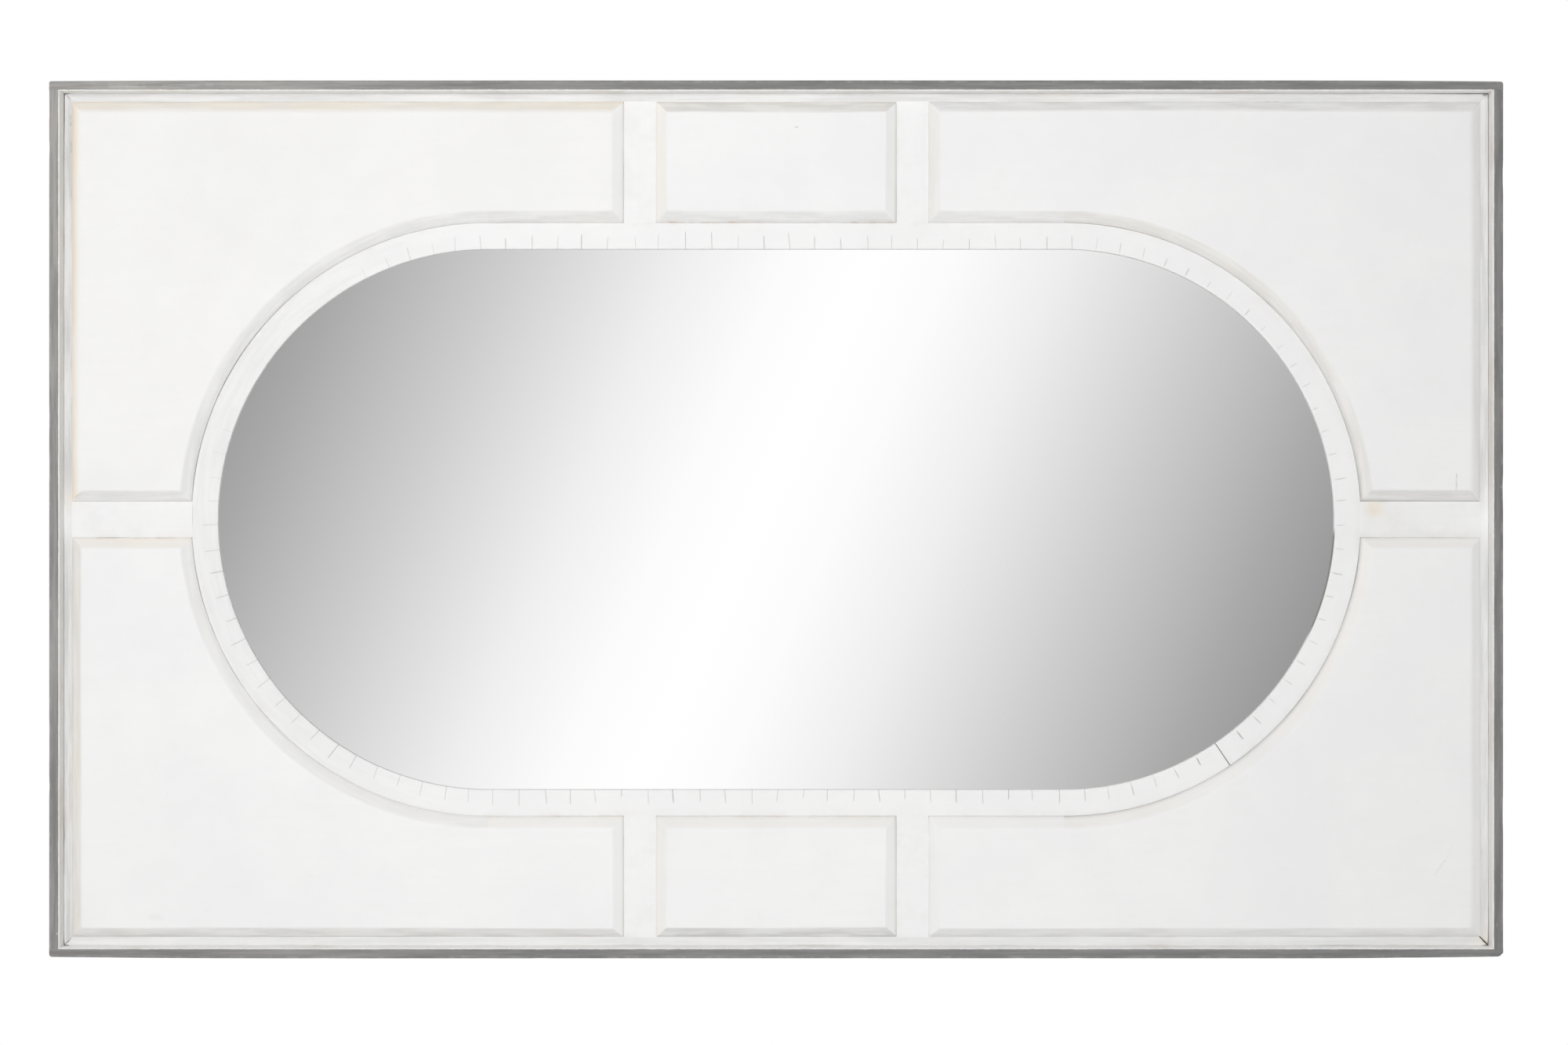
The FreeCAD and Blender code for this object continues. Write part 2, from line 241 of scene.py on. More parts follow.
class Shell:
    """Grids of points and flat caps that make one closed mesh."""

    def __init__(self) -> None:
        """Starts with nothing."""
        self.points: list[Array] = []
        self.faces: list[list[int]] = []
        self.marks: dict[str, list[Array]] = {name: [] for name in MARKS}
        self.count = 0

    def grid(self, x: Array, y: Array, z: Array, looped: bool = False, capped: bool = False,
             **marks: Array) -> "Shell":
        """Adds a table of points whose neighbours are joined by quads, the last column to the first too.

        Args:
            x: Place across, by row and column.
            y: Place in depth, likewise.
            z: Place up, likewise.
            looped: Whether the last row joins the first.
            capped: Whether the first and the last row are filled.
            **marks: Values that fit the rows and columns, by name.

        Returns:
            The shell itself.
        """
        points = np.stack(np.broadcast_arrays(x, y, z), -1)
        rows, columns = points.shape[:2]
        index = np.arange(rows * columns).reshape(rows, columns) + self.count
        if capped:
            self.faces += [index[0, ::-1].tolist(), index[-1].tolist()]
        index = np.hstack([index, index[:, :1]])
        if looped:
            index = np.vstack([index, index[:1]])
        quads = np.stack([index[:-1, :-1], index[:-1, 1:], index[1:, 1:], index[1:, :-1]], -1)
        self.faces += quads.reshape(-1, 4).tolist()
        self.points.append(points.reshape(-1, 3))
        for name in MARKS:
            values = np.broadcast_to(marks.get(name, 0.0), (rows, columns))
            self.marks[name].append(values.ravel())
        self.count += rows * columns
        return self

    def build(self, name: str, material: Material, slot: str, node: str, body: str = MIRROR_BODY,
              crease: float = 0.65) -> None:
        """Makes the piece, faces outwards and creases sharp, lets it ride for its node and reports it.

        Args:
            name: The piece's name.
            material: Its finish.
            slot: The record's material slot; not used.
            node: The node that it stands for.
            body: The body that carries it.
            crease: Angle in radians above which an edge stays sharp.
        """
        mesh = bpy.data.meshes.new(name)
        mesh.from_pydata(np.concatenate(self.points).tolist(), [], self.faces)
        for mark, values in self.marks.items():
            attribute = mesh.attributes.new(mark, "FLOAT", "POINT")
            attribute.data.foreach_set("value", np.concatenate(values).astype(np.float32))
        work = bmesh.new()
        work.from_mesh(mesh)
        bmesh.ops.recalc_face_normals(work, faces=work.faces)
        work.to_mesh(mesh)
        work.free()
        mesh.polygons.foreach_set("use_smooth", np.ones(len(mesh.polygons), dtype=bool))
        mesh.set_sharp_from_angle(angle=crease)
        mesh.materials.append(material)
        piece = placed(name, mesh)
        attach(piece, body)
        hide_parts(node)
        LOG.info("made %s for %s", name, node)


class Graph:
    """A shader node tree that is written from its sources to its output."""

    def __init__(self, tree: bpy.types.NodeTree) -> None:
        """Takes the tree to write in."""
        self.tree = tree

    def node(self, kind: str, *values: object, **settings: object) -> Node:
        """Adds a node.

        Args:
            kind: The node's type name.
            *values: Numbers or sockets for its first inputs, in their order.
            **settings: Properties to set on it.

        Returns:
            The node.
        """
        made = self.tree.nodes.new(kind)
        for name, value in settings.items():
            setattr(made, name, value)
        for socket, value in zip(made.inputs, values):
            self.put(socket, value)
        return made

    def found(self, kind: str) -> Node:
        """The node of that kind that the tree came with."""
        return next(node for node in self.tree.nodes if node.type == kind)

    def put(self, target: Socket, value: object) -> None:
        """Links a socket to its source, or sets its own value.

        Args:
            target: The socket that takes it.
            value: A source socket, or a plain value.
        """
        if isinstance(value, Socket):
            self.tree.links.new(value, target)
        else:
            target.default_value = value

    def feed(self, node: Node, values: dict[str, object]) -> Outputs:
        """Puts values into a node's inputs.

        Args:
            node: The node.
            values: Numbers or sockets by the inputs' names.

        Returns:
            The node's outputs.
        """
        for name, value in values.items():
            self.put(node.inputs[name], value)
        return node.outputs

    def math(self, operation: str, first: object, second: object = 0.5, clamped: bool = True) -> Socket:
        """An arithmetic node's result, held between 0 and 1 if it is clamped."""
        return self.node("ShaderNodeMath", first, second, operation=operation, use_clamp=clamped).outputs[0]

    def product(self, first: object, second: object) -> Socket:
        """Two values multiplied, held between 0 and 1."""
        return self.math("MULTIPLY", first, second)

    def times(self, value: object, factor: float) -> Socket:
        """A value multiplied by a number, not clamped."""
        return self.math("MULTIPLY", value, factor, False)

    def vector(self, operation: str, *values: object, output: str = "Vector") -> Socket:
        """The named result of a vector arithmetic node."""
        return self.node("ShaderNodeVectorMath", *values, operation=operation).outputs[output]

    def axis(self, vector: Socket, index: int) -> Socket:
        """One coordinate of a vector, by its index."""
        return self.node("ShaderNodeSeparateXYZ", vector).outputs[index]

    def mix(self, share: object, first: object, second: object) -> Socket:
        """A blend of two colours.

        Args:
            share: Share of the second colour.
            first: Colour at 0.
            second: Colour at 1.

        Returns:
            The blended colour.
        """
        made = self.node("ShaderNodeMix", share, data_type="RGBA")
        self.put(made.inputs[6], first)
        self.put(made.inputs[7], second)
        return made.outputs[2]

    def lay(self, under: object, over: object, *masks: object) -> Socket:
        """One colour over another, where all the masks are high."""
        return self.mix(reduce(self.product, masks), under, over)

    def span(self, value: object, low: float, high: float, to_low: float = 0.0,
             to_high: float = 1.0) -> Socket:
        """Maps the range from low to high smoothly to the one from to_low to to_high."""
        settings = (value, low, high, to_low, to_high)
        return self.node("ShaderNodeMapRange", *settings, interpolation_type="SMOOTHSTEP").outputs[0]

    def noise(self, vector: object, scale: object, detail: float = 3.0, roughness: float = 0.55) -> Socket:
        """Soft noise, about 0.3 to 0.7, with its octaves and the weight of the finer ones."""
        values = {"Vector": vector, "Scale": scale, "Detail": detail, "Roughness": roughness}
        return self.feed(self.node("ShaderNodeTexNoise"), values)[0]

    def mapped(self, vector: Socket, stretch: Triple, shift: Triple = (0.0, 0.0, 0.0)) -> Socket:
        """A vector, stretched and then shifted."""
        return self.feed(self.node("ShaderNodeMapping", vector), {"Scale": stretch, "Location": shift})[0]

    def place(self, stretch: Triple = (1.0, 1.0, 1.0), shift: Triple = (0.0, 0.0, 0.0)) -> Socket:
        """The object's coordinates, stretched and then shifted."""
        return self.mapped(self.node("ShaderNodeTexCoord").outputs["Object"], stretch, shift)

    def mark(self, name: str) -> Socket:
        """A mark that the piece's mesh carries."""
        return self.node("ShaderNodeAttribute", attribute_name=name).outputs["Fac"]

    def strip(self, along: float, across: float) -> Socket:
        """The run and reach that a bent strip's mesh carries, each stretched by its number."""
        joined = self.node("ShaderNodeCombineXYZ", self.mark("run"), self.mark("reach")).outputs[0]
        return self.mapped(joined, (along, across, 1.0))


class Effects:
    """Shader node groups that several finishes share, each built once and kept by its name."""

    def __init__(self) -> None:
        """Builds all the groups."""
        self.trees: dict[str, bpy.types.NodeTree] = {}
        self.brush_strokes()
        self.rub_through()
        self.specks()
        self.wood_grain()
        self.smudges()
        self.scuff()

    def group(self, name: str, numbers: str, *outputs: str,
              vectors: str = "Vector") -> tuple[Graph, dict, dict]:
        """Starts a group.

        Args:
            name: The group's name.
            numbers: Names of its plain number inputs, with spaces between.
            *outputs: Name of each output, all plain numbers.
            vectors: Names of its vector inputs, with spaces between.

        Returns:
            The graph to write in, the input sockets and the output sockets, both by name.
        """
        tree = self.trees[name] = bpy.data.node_groups.new(name, "ShaderNodeTree")
        inputs = {label: VECTOR for label in vectors.split()} | {label: NUMBER for label in numbers.split()}
        for label, kind in inputs.items():
            tree.interface.new_socket(name=label, in_out="INPUT", socket_type=kind)
        for label in outputs:
            tree.interface.new_socket(name=label, in_out="OUTPUT", socket_type=NUMBER)
        graph = Graph(tree)
        source, target = graph.node("NodeGroupInput"), graph.node("NodeGroupOutput")
        return (graph, {label: source.outputs[label] for label in inputs},
                {label: target.inputs[label] for label in outputs})

    def brush_strokes(self) -> None:
        """Fine bristle lines and a broad unevenness, read on a vector that is stretched along the stroke."""
        graph, given, wanted = self.group("brush_strokes", "Scale", "Strokes", "Mottle")
        fine = graph.noise(given["Vector"], given["Scale"], 5.0, 0.62)
        graph.put(wanted["Strokes"], graph.span(fine, 0.32, 0.68))
        broad = graph.noise(given["Vector"], graph.times(given["Scale"], 0.07), 2.0, 0.5)
        graph.put(wanted["Mottle"], graph.span(broad, 0.35, 0.65))

    def rub_through(self) -> None:
        """Where paint has gone at an edge: a mask, thinned by noise so that it breaks into patches."""
        graph, given, wanted = self.group("rub_through", "Mask Scale Reach", "Wear")
        patches = graph.span(graph.noise(given["Vector"], given["Scale"], 6.0, 0.65), 0.42, 0.72)
        graph.put(wanted["Wear"], graph.product(graph.product(patches, given["Mask"]), given["Reach"]))

    def specks(self) -> None:
        """Small round specks, kept only where broad noise is high so that they gather."""
        graph, given, wanted = self.group("specks", "Scale", "Specks")
        cells = graph.feed(graph.node("ShaderNodeTexVoronoi"), given)
        dots = graph.span(cells["Distance"], 0.0, 0.11, 1.0, 0.0)
        gather = graph.span(graph.noise(given["Vector"], graph.times(given["Scale"], 0.13)), 0.56, 0.68)
        graph.put(wanted["Specks"], graph.product(dots, gather))

    def wood_grain(self) -> None:
        """Grain bands and short pores, read on a vector that is stretched along the grain."""
        graph, given, wanted = self.group("wood_grain", "Scale", "Grain", "Pores")
        wave = graph.feed(graph.node("ShaderNodeTexWave", bands_direction="Z"),
                          {**given, "Distortion": 7.0, "Detail": 3.0, "Detail Scale": 1.4})
        graph.put(wanted["Grain"], graph.span(wave["Fac"], 0.05, 0.95))
        pores = graph.noise(given["Vector"], graph.times(given["Scale"], 9.0), 3.0, 0.6)
        graph.put(wanted["Pores"], graph.span(pores, 0.55, 0.72))

    def scuff(self) -> None:
        """One knock: nearness to a short line, broken by noise.

        The nearest point of the line is its start plus its way times the place along, held to its length.
        """
        graph, given, wanted = self.group("scuff", "Length Width Break", "Mask", vectors="Vector Start Way")
        offset = graph.vector("SUBTRACT", given["Vector"], given["Start"])
        along = graph.vector("DOT_PRODUCT", offset, given["Way"], output="Value")
        held = graph.feed(graph.node("ShaderNodeClamp", along), {"Max": given["Length"]})[0]
        scaled = graph.node("ShaderNodeVectorMath", given["Way"], operation="SCALE")
        nearest = graph.feed(scaled, {"Scale": held})[0]
        away = graph.vector("LENGTH", graph.vector("SUBTRACT", offset, nearest), output="Value")
        near = graph.span(graph.math("DIVIDE", away, given["Width"], False), 0.0, 1.0, 1.0, 0.0)
        broken = graph.span(graph.noise(given["Vector"], given["Break"], 4.0, 0.6), 0.30, 0.58)
        graph.put(wanted["Mask"], graph.product(near, broken))

    def smudges(self) -> None:
        """Broad faint marks of wiping on polished glass and steel."""
        graph, given, wanted = self.group("smudges", "Scale", "Smudge")
        broad = graph.noise(given["Vector"], given["Scale"], 4.0, 0.6)
        graph.put(wanted["Smudge"], graph.span(broad, 0.40, 0.75))


class Coat(Graph):
    """A new material's graph, with its shader and the shared effects."""

    def __init__(self, name: str, effects: Effects | None = None) -> None:
        """Starts the material.

        Args:
            name: Its name.
            effects: The shared node groups, if it uses any.
        """
        self.material = bpy.data.materials.new(name)
        self.material.use_nodes = True
        super().__init__(self.material.node_tree)
        self.shader = self.found("BSDF_PRINCIPLED")
        self.effects = effects

    def use(self, effect: str, **values: object) -> Outputs:
        """Places a shared effect with values for its inputs by name, and gives its outputs."""
        return self.feed(self.node("ShaderNodeGroup", node_tree=self.effects.trees[effect]), values)

    def cover(self, colour: object, roughness: object, height: Socket, strength: float,
              relief: float) -> None:
        """Links a colour, a roughness and a bump to the shader.

        Args:
            colour: The colour.
            roughness: The roughness.
            height: The bump's height, 0 to 1.
            strength: How strongly the bump shows.
            relief: Height of 1, in metres.
        """
        values = {"Strength": strength, "Distance": relief, "Height": height}
        bump = self.feed(self.node("ShaderNodeBump"), values)
        self.feed(self.shader, {"Base Color": colour, "Roughness": roughness, "Normal": bump[0]})

    def end(self, surface: Socket) -> None:
        """Lets another shader than the first one end the material."""
        self.put(self.found("OUTPUT_MATERIAL").inputs["Surface"], surface)


@dataclass(frozen=True)
class Finish(ABC):
    """A surface finish that can be laid on pieces."""
    name: str

    def material(self, effects: Effects) -> Material:
        """Makes the material.

        Args:
            effects: The shared node groups.

        Returns:
            The material.
        """
        coat = Coat(self.name, effects)
        self.dress(coat)
        return coat.material

    @abstractmethod
    def dress(self, coat: Coat) -> None:
        """Writes the material.

        Args:
            coat: The material's graph.
        """


@dataclass(frozen=True)
class Scuff:
    """One knock on a painted face: its ends across and up, its half width, its shade and its strength."""
    start: tuple[float, float]
    end: tuple[float, float]
    width: float
    shade: Colour
    strength: float

    @property
    def length(self) -> float:
        """How long it is."""
        return math.dist(self.start, self.end)

    @property
    def way(self) -> Triple:
        """Its direction on the face, as a unit vector."""
        return ((self.end[0] - self.start[0]) / self.length, 0.0, (self.end[1] - self.start[1]) / self.length)


@dataclass(frozen=True)
class Painted(Finish):
    """Brushed paint that carries single knocks."""
    flow: Flow = Flow.WIDTH
    face: float = -0.0145
    scuffs: tuple[Scuff, ...] = ()
    scuff_break: float = 420.0

    def stretch(self, share: float) -> Triple:
        """Scales that draw a pattern out along the brush's way."""
        return (share, 1.0, 1.0) if self.flow is Flow.WIDTH else (1.0, 1.0, share)

    def knock(self, coat: Coat, colour: Socket, scuff: Scuff, strength: object) -> Socket:
        """Lays one knock over a colour.

        Args:
            coat: The material's graph.
            colour: The colour so far.
            scuff: The knock.
            strength: How strongly it shows.

        Returns:
            The new colour.
        """
        start = (scuff.start[0], self.face, scuff.start[1])
        mark = coat.use("scuff", Vector=coat.place(), Start=start, Way=scuff.way, Length=scuff.length,
                        Width=scuff.width, Break=self.scuff_break)
        return coat.lay(colour, scuff.shade, mark["Mask"], strength)


@dataclass(frozen=True)
class Whitewash(Painted):
    """Brushed white paint on wood, glazed grey in places where the grey is partly painted shade, thin at its
    edges, with kerfs that show through and painted shade lines.
    """
    paint: Colour = (0.888, 0.888, 0.884, 1.0)
    cool: Colour = (0.858, 0.860, 0.860, 1.0)
    # Grey of the glaze, also laid as painted shade on bevels, margins and the ring's left side.
    glaze: Colour = (0.60, 0.597, 0.59, 1.0)
    cream: Colour = (0.82, 0.715, 0.565, 1.0)
    bare: Colour = (0.52, 0.32, 0.17, 1.0)
    # Dark of the kerf mark: kerfs, and painted shade lines at panel lips and the ring's right sight edge.
    groove: Colour = (0.27, 0.255, 0.235, 1.0)
    dirt: Colour = (0.50, 0.47, 0.43, 1.0)
    blotch: Colour = (0.79, 0.79, 0.785, 1.0)
    blotches: float = 0.10
    stroke_scale: float = 160.0
    stroke_stretch: float = 0.06
    strip_stretch: float = 0.09
    cloud_scale: float = 6.5
    blotch_scale: float = 24.0
    yellow_scale: float = 9.0
    wear_scale: float = 46.0
    wear_reach: float = 0.8
    speck_scale: float = 95.0
    stroke_share: float = 0.25
    kerf_share: float = 0.95
    speck_share: float = 0.20
    roughness: tuple[float, float] = (0.50, 0.66)
    bump: float = 0.2
    relief: float = 0.0004
    shine: float = 0.35
    rimmed: bool = False

    def dress(self, coat: Coat) -> None:
        """Lays paint, then glaze and painted shade, yellowing, rubbed edges, kerfs and painted shade lines,
        specks and knocks over it.

        Args:
            coat: The material's graph.
        """
        plain = coat.place()
        bent = coat.strip(self.strip_stretch, 1.0)
        way = bent if self.flow is Flow.STRIP else coat.place(self.stretch(self.stroke_stretch))
        brush = coat.use("brush_strokes", Vector=way, Scale=self.stroke_scale)
        rim_brush = coat.use("brush_strokes", Vector=bent, Scale=self.stroke_scale) if self.rimmed else brush
        clouds = coat.span(coat.noise(plain, self.cloud_scale, 6.0, 0.6), 0.36, 0.66)
        patchy = coat.span(coat.noise(plain, self.blotch_scale, 6.0, 0.65), 0.44, 0.66, 0.0, self.blotches)
        streaks = coat.span(rim_brush["Strokes"], 0.0, 1.0, 0.55, 1.2)
        yellowed = coat.span(coat.noise(plain, self.yellow_scale, 4.0), 0.30, 0.62)
        uneven = coat.math("ADD", coat.product(yellowed, 0.5), 0.5)
        wear = coat.use("rub_through", Vector=plain, Mask=coat.mark("edge"), Scale=self.wear_scale,
                        Reach=self.wear_reach)["Wear"]
        specks = coat.use("specks", Vector=plain, Scale=self.speck_scale)["Specks"]
        colour = self.paint
        # The glaze mark lays painted shade with the glaze, and the kerf mark lays painted shade lines with
        # the kerfs.
        for shade, *masks in (
                (self.cool, clouds), (self.cool, brush["Strokes"], self.stroke_share),
                (self.blotch, patchy), (self.glaze, coat.mark("glaze"), streaks),
                (self.cream, coat.mark("patina"), uneven), (self.bare, wear),
                (self.groove, coat.mark("kerf"), self.kerf_share), (self.dirt, specks, self.speck_share)):
            colour = coat.lay(colour, shade, *masks)
        for scuff in self.scuffs:
            colour = self.knock(coat, colour, scuff, scuff.strength)
        height = coat.math("SUBTRACT", coat.product(brush["Strokes"], 0.5), coat.product(wear, 0.5))
        height = coat.math("ADD", height, coat.product(brush["Mottle"], 0.5))
        rough = coat.span(brush["Strokes"], 0.0, 1.0, *self.roughness)
        coat.cover(colour, rough, height, self.bump, self.relief)
        coat.shader.inputs["Specular IOR Level"].default_value = self.shine


@dataclass(frozen=True)
class TrayPaint(Painted):
    """Grey paint outside, white inside where the two meet in a ragged line, and bare wood at the wall."""
    face: float = -0.020
    scuff_break: float = 55.0
    grey: Colour = (0.262, 0.261, 0.259, 1.0)
    pale: Colour = (0.42, 0.405, 0.39, 1.0)
    dark: Colour = (0.164, 0.164, 0.163, 1.0)
    # A paler grey, laid by the patina mark: more of it to the left and higher up.
    faded: Colour = (0.37, 0.352, 0.335, 1.0)
    white: Colour = (0.86, 0.85, 0.835, 1.0)
    pink: Colour = (0.66, 0.52, 0.44, 1.0)
    wood: Colour = (0.46, 0.32, 0.20, 1.0)
    # Painted shade on the inner wall below the members' face, down in the gap.
    crack: Colour = (0.22, 0.19, 0.165, 1.0)
    crumb: Colour = (0.36, 0.28, 0.22, 1.0)
    crack_top: float = -0.00805
    crack_fade: float = 0.0008
    crack_scale: float = 7.0
    wall_edge: float = 0.020
    bare_depth: float = 0.003
    bare_scale: float = 30.0
    stroke_scale: float = 210.0
    stroke_stretch: float = 0.05
    haze_scale: float = 14.0
    haze_stretch: float = 0.2
    wear_scale: float = 60.0
    wear_reach: float = 0.5
    line_scale: float = 110.0
    crumb_scale: float = 150.0
    stain_scale: float = 11.0
    grain_scale: float = 60.0
    stroke_share: float = 0.75
    stain_share: float = 0.35
    crumb_share: float = 0.65
    grain_share: float = 0.5
    roughness: tuple[float, float] = (0.42, 0.60)
    bump: float = 0.4
    relief: float = 0.0004

    def outside(self, coat: Coat, strokes: Socket) -> Socket:
        """The grey outside: strokes, a paler grey by the patina mark, haze and rubbed edges.

        Args:
            coat: The material's graph.
            strokes: The brush's bristle lines.

        Returns:
            The colour.
        """
        drawn = coat.noise(coat.place(self.stretch(self.haze_stretch)), self.haze_scale, 5.0)
        thin = coat.span(strokes, 0.1, 0.9, 0.55, 1.1)
        hazy = coat.span(coat.mark("patina"), 0.0, 0.6, 0.25, 0.6)
        wear = coat.use("rub_through", Vector=coat.place(), Mask=coat.mark("edge"), Scale=self.wear_scale,
                        Reach=self.wear_reach)["Wear"]
        colour = coat.lay(self.dark, self.grey, strokes, self.stroke_share)
        colour = coat.lay(colour, self.faded, coat.mark("patina"), thin)
        colour = coat.lay(colour, self.pale, coat.span(drawn, 0.48, 0.72), hazy)
        return coat.lay(colour, self.pale, wear)

    def dress(self, coat: Coat) -> None:
        """Lays the grey, the white inner wall with its crumbs and the painted shade in its gap, the knocks
        and the bare rear edge.

        Args:
            coat: The material's graph.
        """
        plain = coat.place()
        depth = coat.axis(plain, 1)
        way = coat.place(self.stretch(self.stroke_stretch))
        strokes = coat.use("brush_strokes", Vector=way, Scale=self.stroke_scale)["Strokes"]
        ragged = coat.math("ADD", coat.times(coat.mark("inner"), 0.75),
                           coat.times(coat.noise(plain, self.line_scale, 5.0, 0.65), 0.25))
        inside = coat.span(ragged, 0.46, 0.58)
        fringe = coat.span(ragged, 0.38, 0.46), coat.span(ragged, 0.48, 0.60, 1.0, 0.0)
        crumbs = coat.span(coat.noise(plain, self.crumb_scale, 4.0), 0.50, 0.60)
        stained = coat.span(coat.noise(plain, self.stain_scale, 3.0), 0.52, 0.72)
        gap_shade_breakup = coat.span(coat.noise(plain, self.crack_scale, 4.0), 0.34, 0.60, 0.25, 1.0)
        inner = coat.lay(self.white, self.pink, stained, self.stain_share)
        colour = coat.lay(self.outside(coat, strokes), inner, inside)
        colour = coat.lay(colour, self.crumb, *fringe, crumbs, self.crumb_share)
        # Painted shade: the wall darkens from the members' face down into the gap.
        sunk = coat.span(depth, self.crack_top, self.crack_top + self.crack_fade)
        colour = coat.lay(colour, self.crack, sunk, inside, gap_shade_breakup)
        for scuff in self.scuffs:
            streaky = coat.span(strokes, 0.15, 0.85, 0.35 * scuff.strength, scuff.strength)
            colour = self.knock(coat, colour, scuff, streaky)
        grain = coat.use("wood_grain", Vector=way, Scale=self.grain_scale)["Grain"]
        colour = coat.lay(colour, coat.lay(self.wood, self.pink, grain, self.grain_share),
                          coat.span(depth, self.wall_edge - self.bare_depth, self.wall_edge),
                          coat.span(coat.noise(plain, self.bare_scale, 4.0), 0.25, 0.5))
        height = coat.math("ADD", coat.product(strokes, 0.6), coat.product(inside, 0.3))
        rough = coat.span(strokes, 0.0, 1.0, *self.roughness)
        coat.cover(colour, rough, height, self.bump, self.relief)


@dataclass(frozen=True)
class Silvering(Finish):
    """Silvered glass with the faintest marks of wiping."""
    colour: Colour = (0.934, 0.934, 0.934, 1.0)
    smudge_scale: float = 5.0
    smudge_stretch: Triple = (1.0, 1.0, 0.4)
    roughness: tuple[float, float] = (0.004, 0.016)

    def dress(self, coat: Coat) -> None:
        """Sets the mirror and a roughness that hardly changes.

        Args:
            coat: The material's graph.
        """
        wiped = coat.place(self.smudge_stretch)
        smudge = coat.use("smudges", Vector=wiped, Scale=self.smudge_scale)["Smudge"]
        rough = coat.span(smudge, 0.0, 1.0, *self.roughness)
        coat.feed(coat.shader, {"Base Color": self.colour, "Metallic": 1.0, "Roughness": rough})


@dataclass(frozen=True)
class Board(Finish):
    """Bare sheet material: plywood, card or hardboard."""
    light: Colour = (0.62, 0.45, 0.28, 1.0)
    deep: Colour = (0.43, 0.28, 0.16, 1.0)
    stretch: Triple = (0.08, 1.0, 1.0)
    grain_scale: float = 26.0
    grain_share: float = 0.6
    roughness: tuple[float, float] = (0.55, 0.75)
    fibre: Colour = (0.70, 0.55, 0.38, 1.0)
    fibre_share: float = 0.15
    fibre_scale: float = 330.0
    fibre_stretch: Triple = (0.35, 1.0, 1.0)
    # Painted shade for what lies in front of its plane: the carrier's front, seen only down in the gaps.
    grime: Colour = (0.07, 0.06, 0.05, 1.0)
    grimy_to: float | None = None
    grime_fade: float = 0.0004
    cloud_scale: float = 6.0
    speck_scale: float = 140.0
    cloud_share: float = 0.4
    pore_share: float = 0.35
    speck_share: float = 0.4
    bump: float = 0.3
    relief: float = 0.0003

    def dress(self, coat: Coat) -> None:
        """Mixes grain, clouds, pores, specks and fibres of the colours, with painted shade in front of its
        plane.

        Args:
            coat: The material's graph.
        """
        plain = coat.place()
        grain = coat.use("wood_grain", Vector=coat.place(self.stretch), Scale=self.grain_scale)
        clouds = coat.span(coat.noise(plain, self.cloud_scale, 5.0), 0.35, 0.68)
        specks = coat.use("specks", Vector=plain, Scale=self.speck_scale)["Specks"]
        matted = coat.noise(coat.place(self.fibre_stretch), self.fibre_scale, 5.0, 0.7)
        colour = self.light
        for mask, share in ((grain["Grain"], self.grain_share), (clouds, self.cloud_share),
                            (grain["Pores"], self.pore_share), (specks, self.speck_share)):
            colour = coat.lay(colour, self.deep, mask, share)
        colour = coat.lay(colour, self.fibre, coat.span(matted, 0.50, 0.68), self.fibre_share)
        if self.grimy_to is not None:
            shaded_front = coat.span(coat.axis(plain, 1), self.grimy_to - self.grime_fade, self.grimy_to, 1.0, 0.0)
            colour = coat.lay(colour, self.grime, shaded_front)
        height = coat.math("ADD", coat.product(grain["Pores"], 0.5), coat.product(matted, 0.5))
        coat.cover(colour, coat.span(clouds, 0.0, 1.0, *self.roughness), height, self.bump, self.relief)


@dataclass(frozen=True)
class PlatedSteel(Finish):
    """Zinc-plated steel with spangle, dull patches and worn bright edges."""
    bright: Colour = (0.70, 0.69, 0.66, 1.0)
    dull: Colour = (0.42, 0.41, 0.385, 1.0)
    patch_scale: float = 260.0
    wear_scale: float = 300.0
    wear_reach: float = 0.7
    smudge_scale: float = 90.0
    dull_share: float = 0.25
    smudge_share: float = 0.2
    roughness: tuple[float, float] = (0.26, 0.52)
    bump: float = 0.15
    relief: float = 0.0001

    def dress(self, coat: Coat) -> None:
        """Mixes bright and dull plating and roughens the dull.

        Args:
            coat: The material's graph.
        """
        plain = coat.place()
        patches = coat.span(coat.noise(plain, self.patch_scale, 5.0, 0.6), 0.38, 0.66)
        wear = coat.use("rub_through", Vector=plain, Mask=coat.mark("edge"), Scale=self.wear_scale,
                        Reach=self.wear_reach)["Wear"]
        tarnish = coat.math("SUBTRACT", patches, wear)
        smudge = coat.use("smudges", Vector=plain, Scale=self.smudge_scale)["Smudge"]
        wiped = coat.product(smudge, self.smudge_share)
        rough = coat.math("ADD", coat.product(tarnish, self.dull_share), wiped)
        rough = coat.span(rough, 0.0, self.dull_share + self.smudge_share, *self.roughness)
        colour = coat.lay(self.bright, self.dull, tarnish)
        coat.cover(colour, rough, patches, self.bump, self.relief)
        coat.shader.inputs["Metallic"].default_value = 1.0


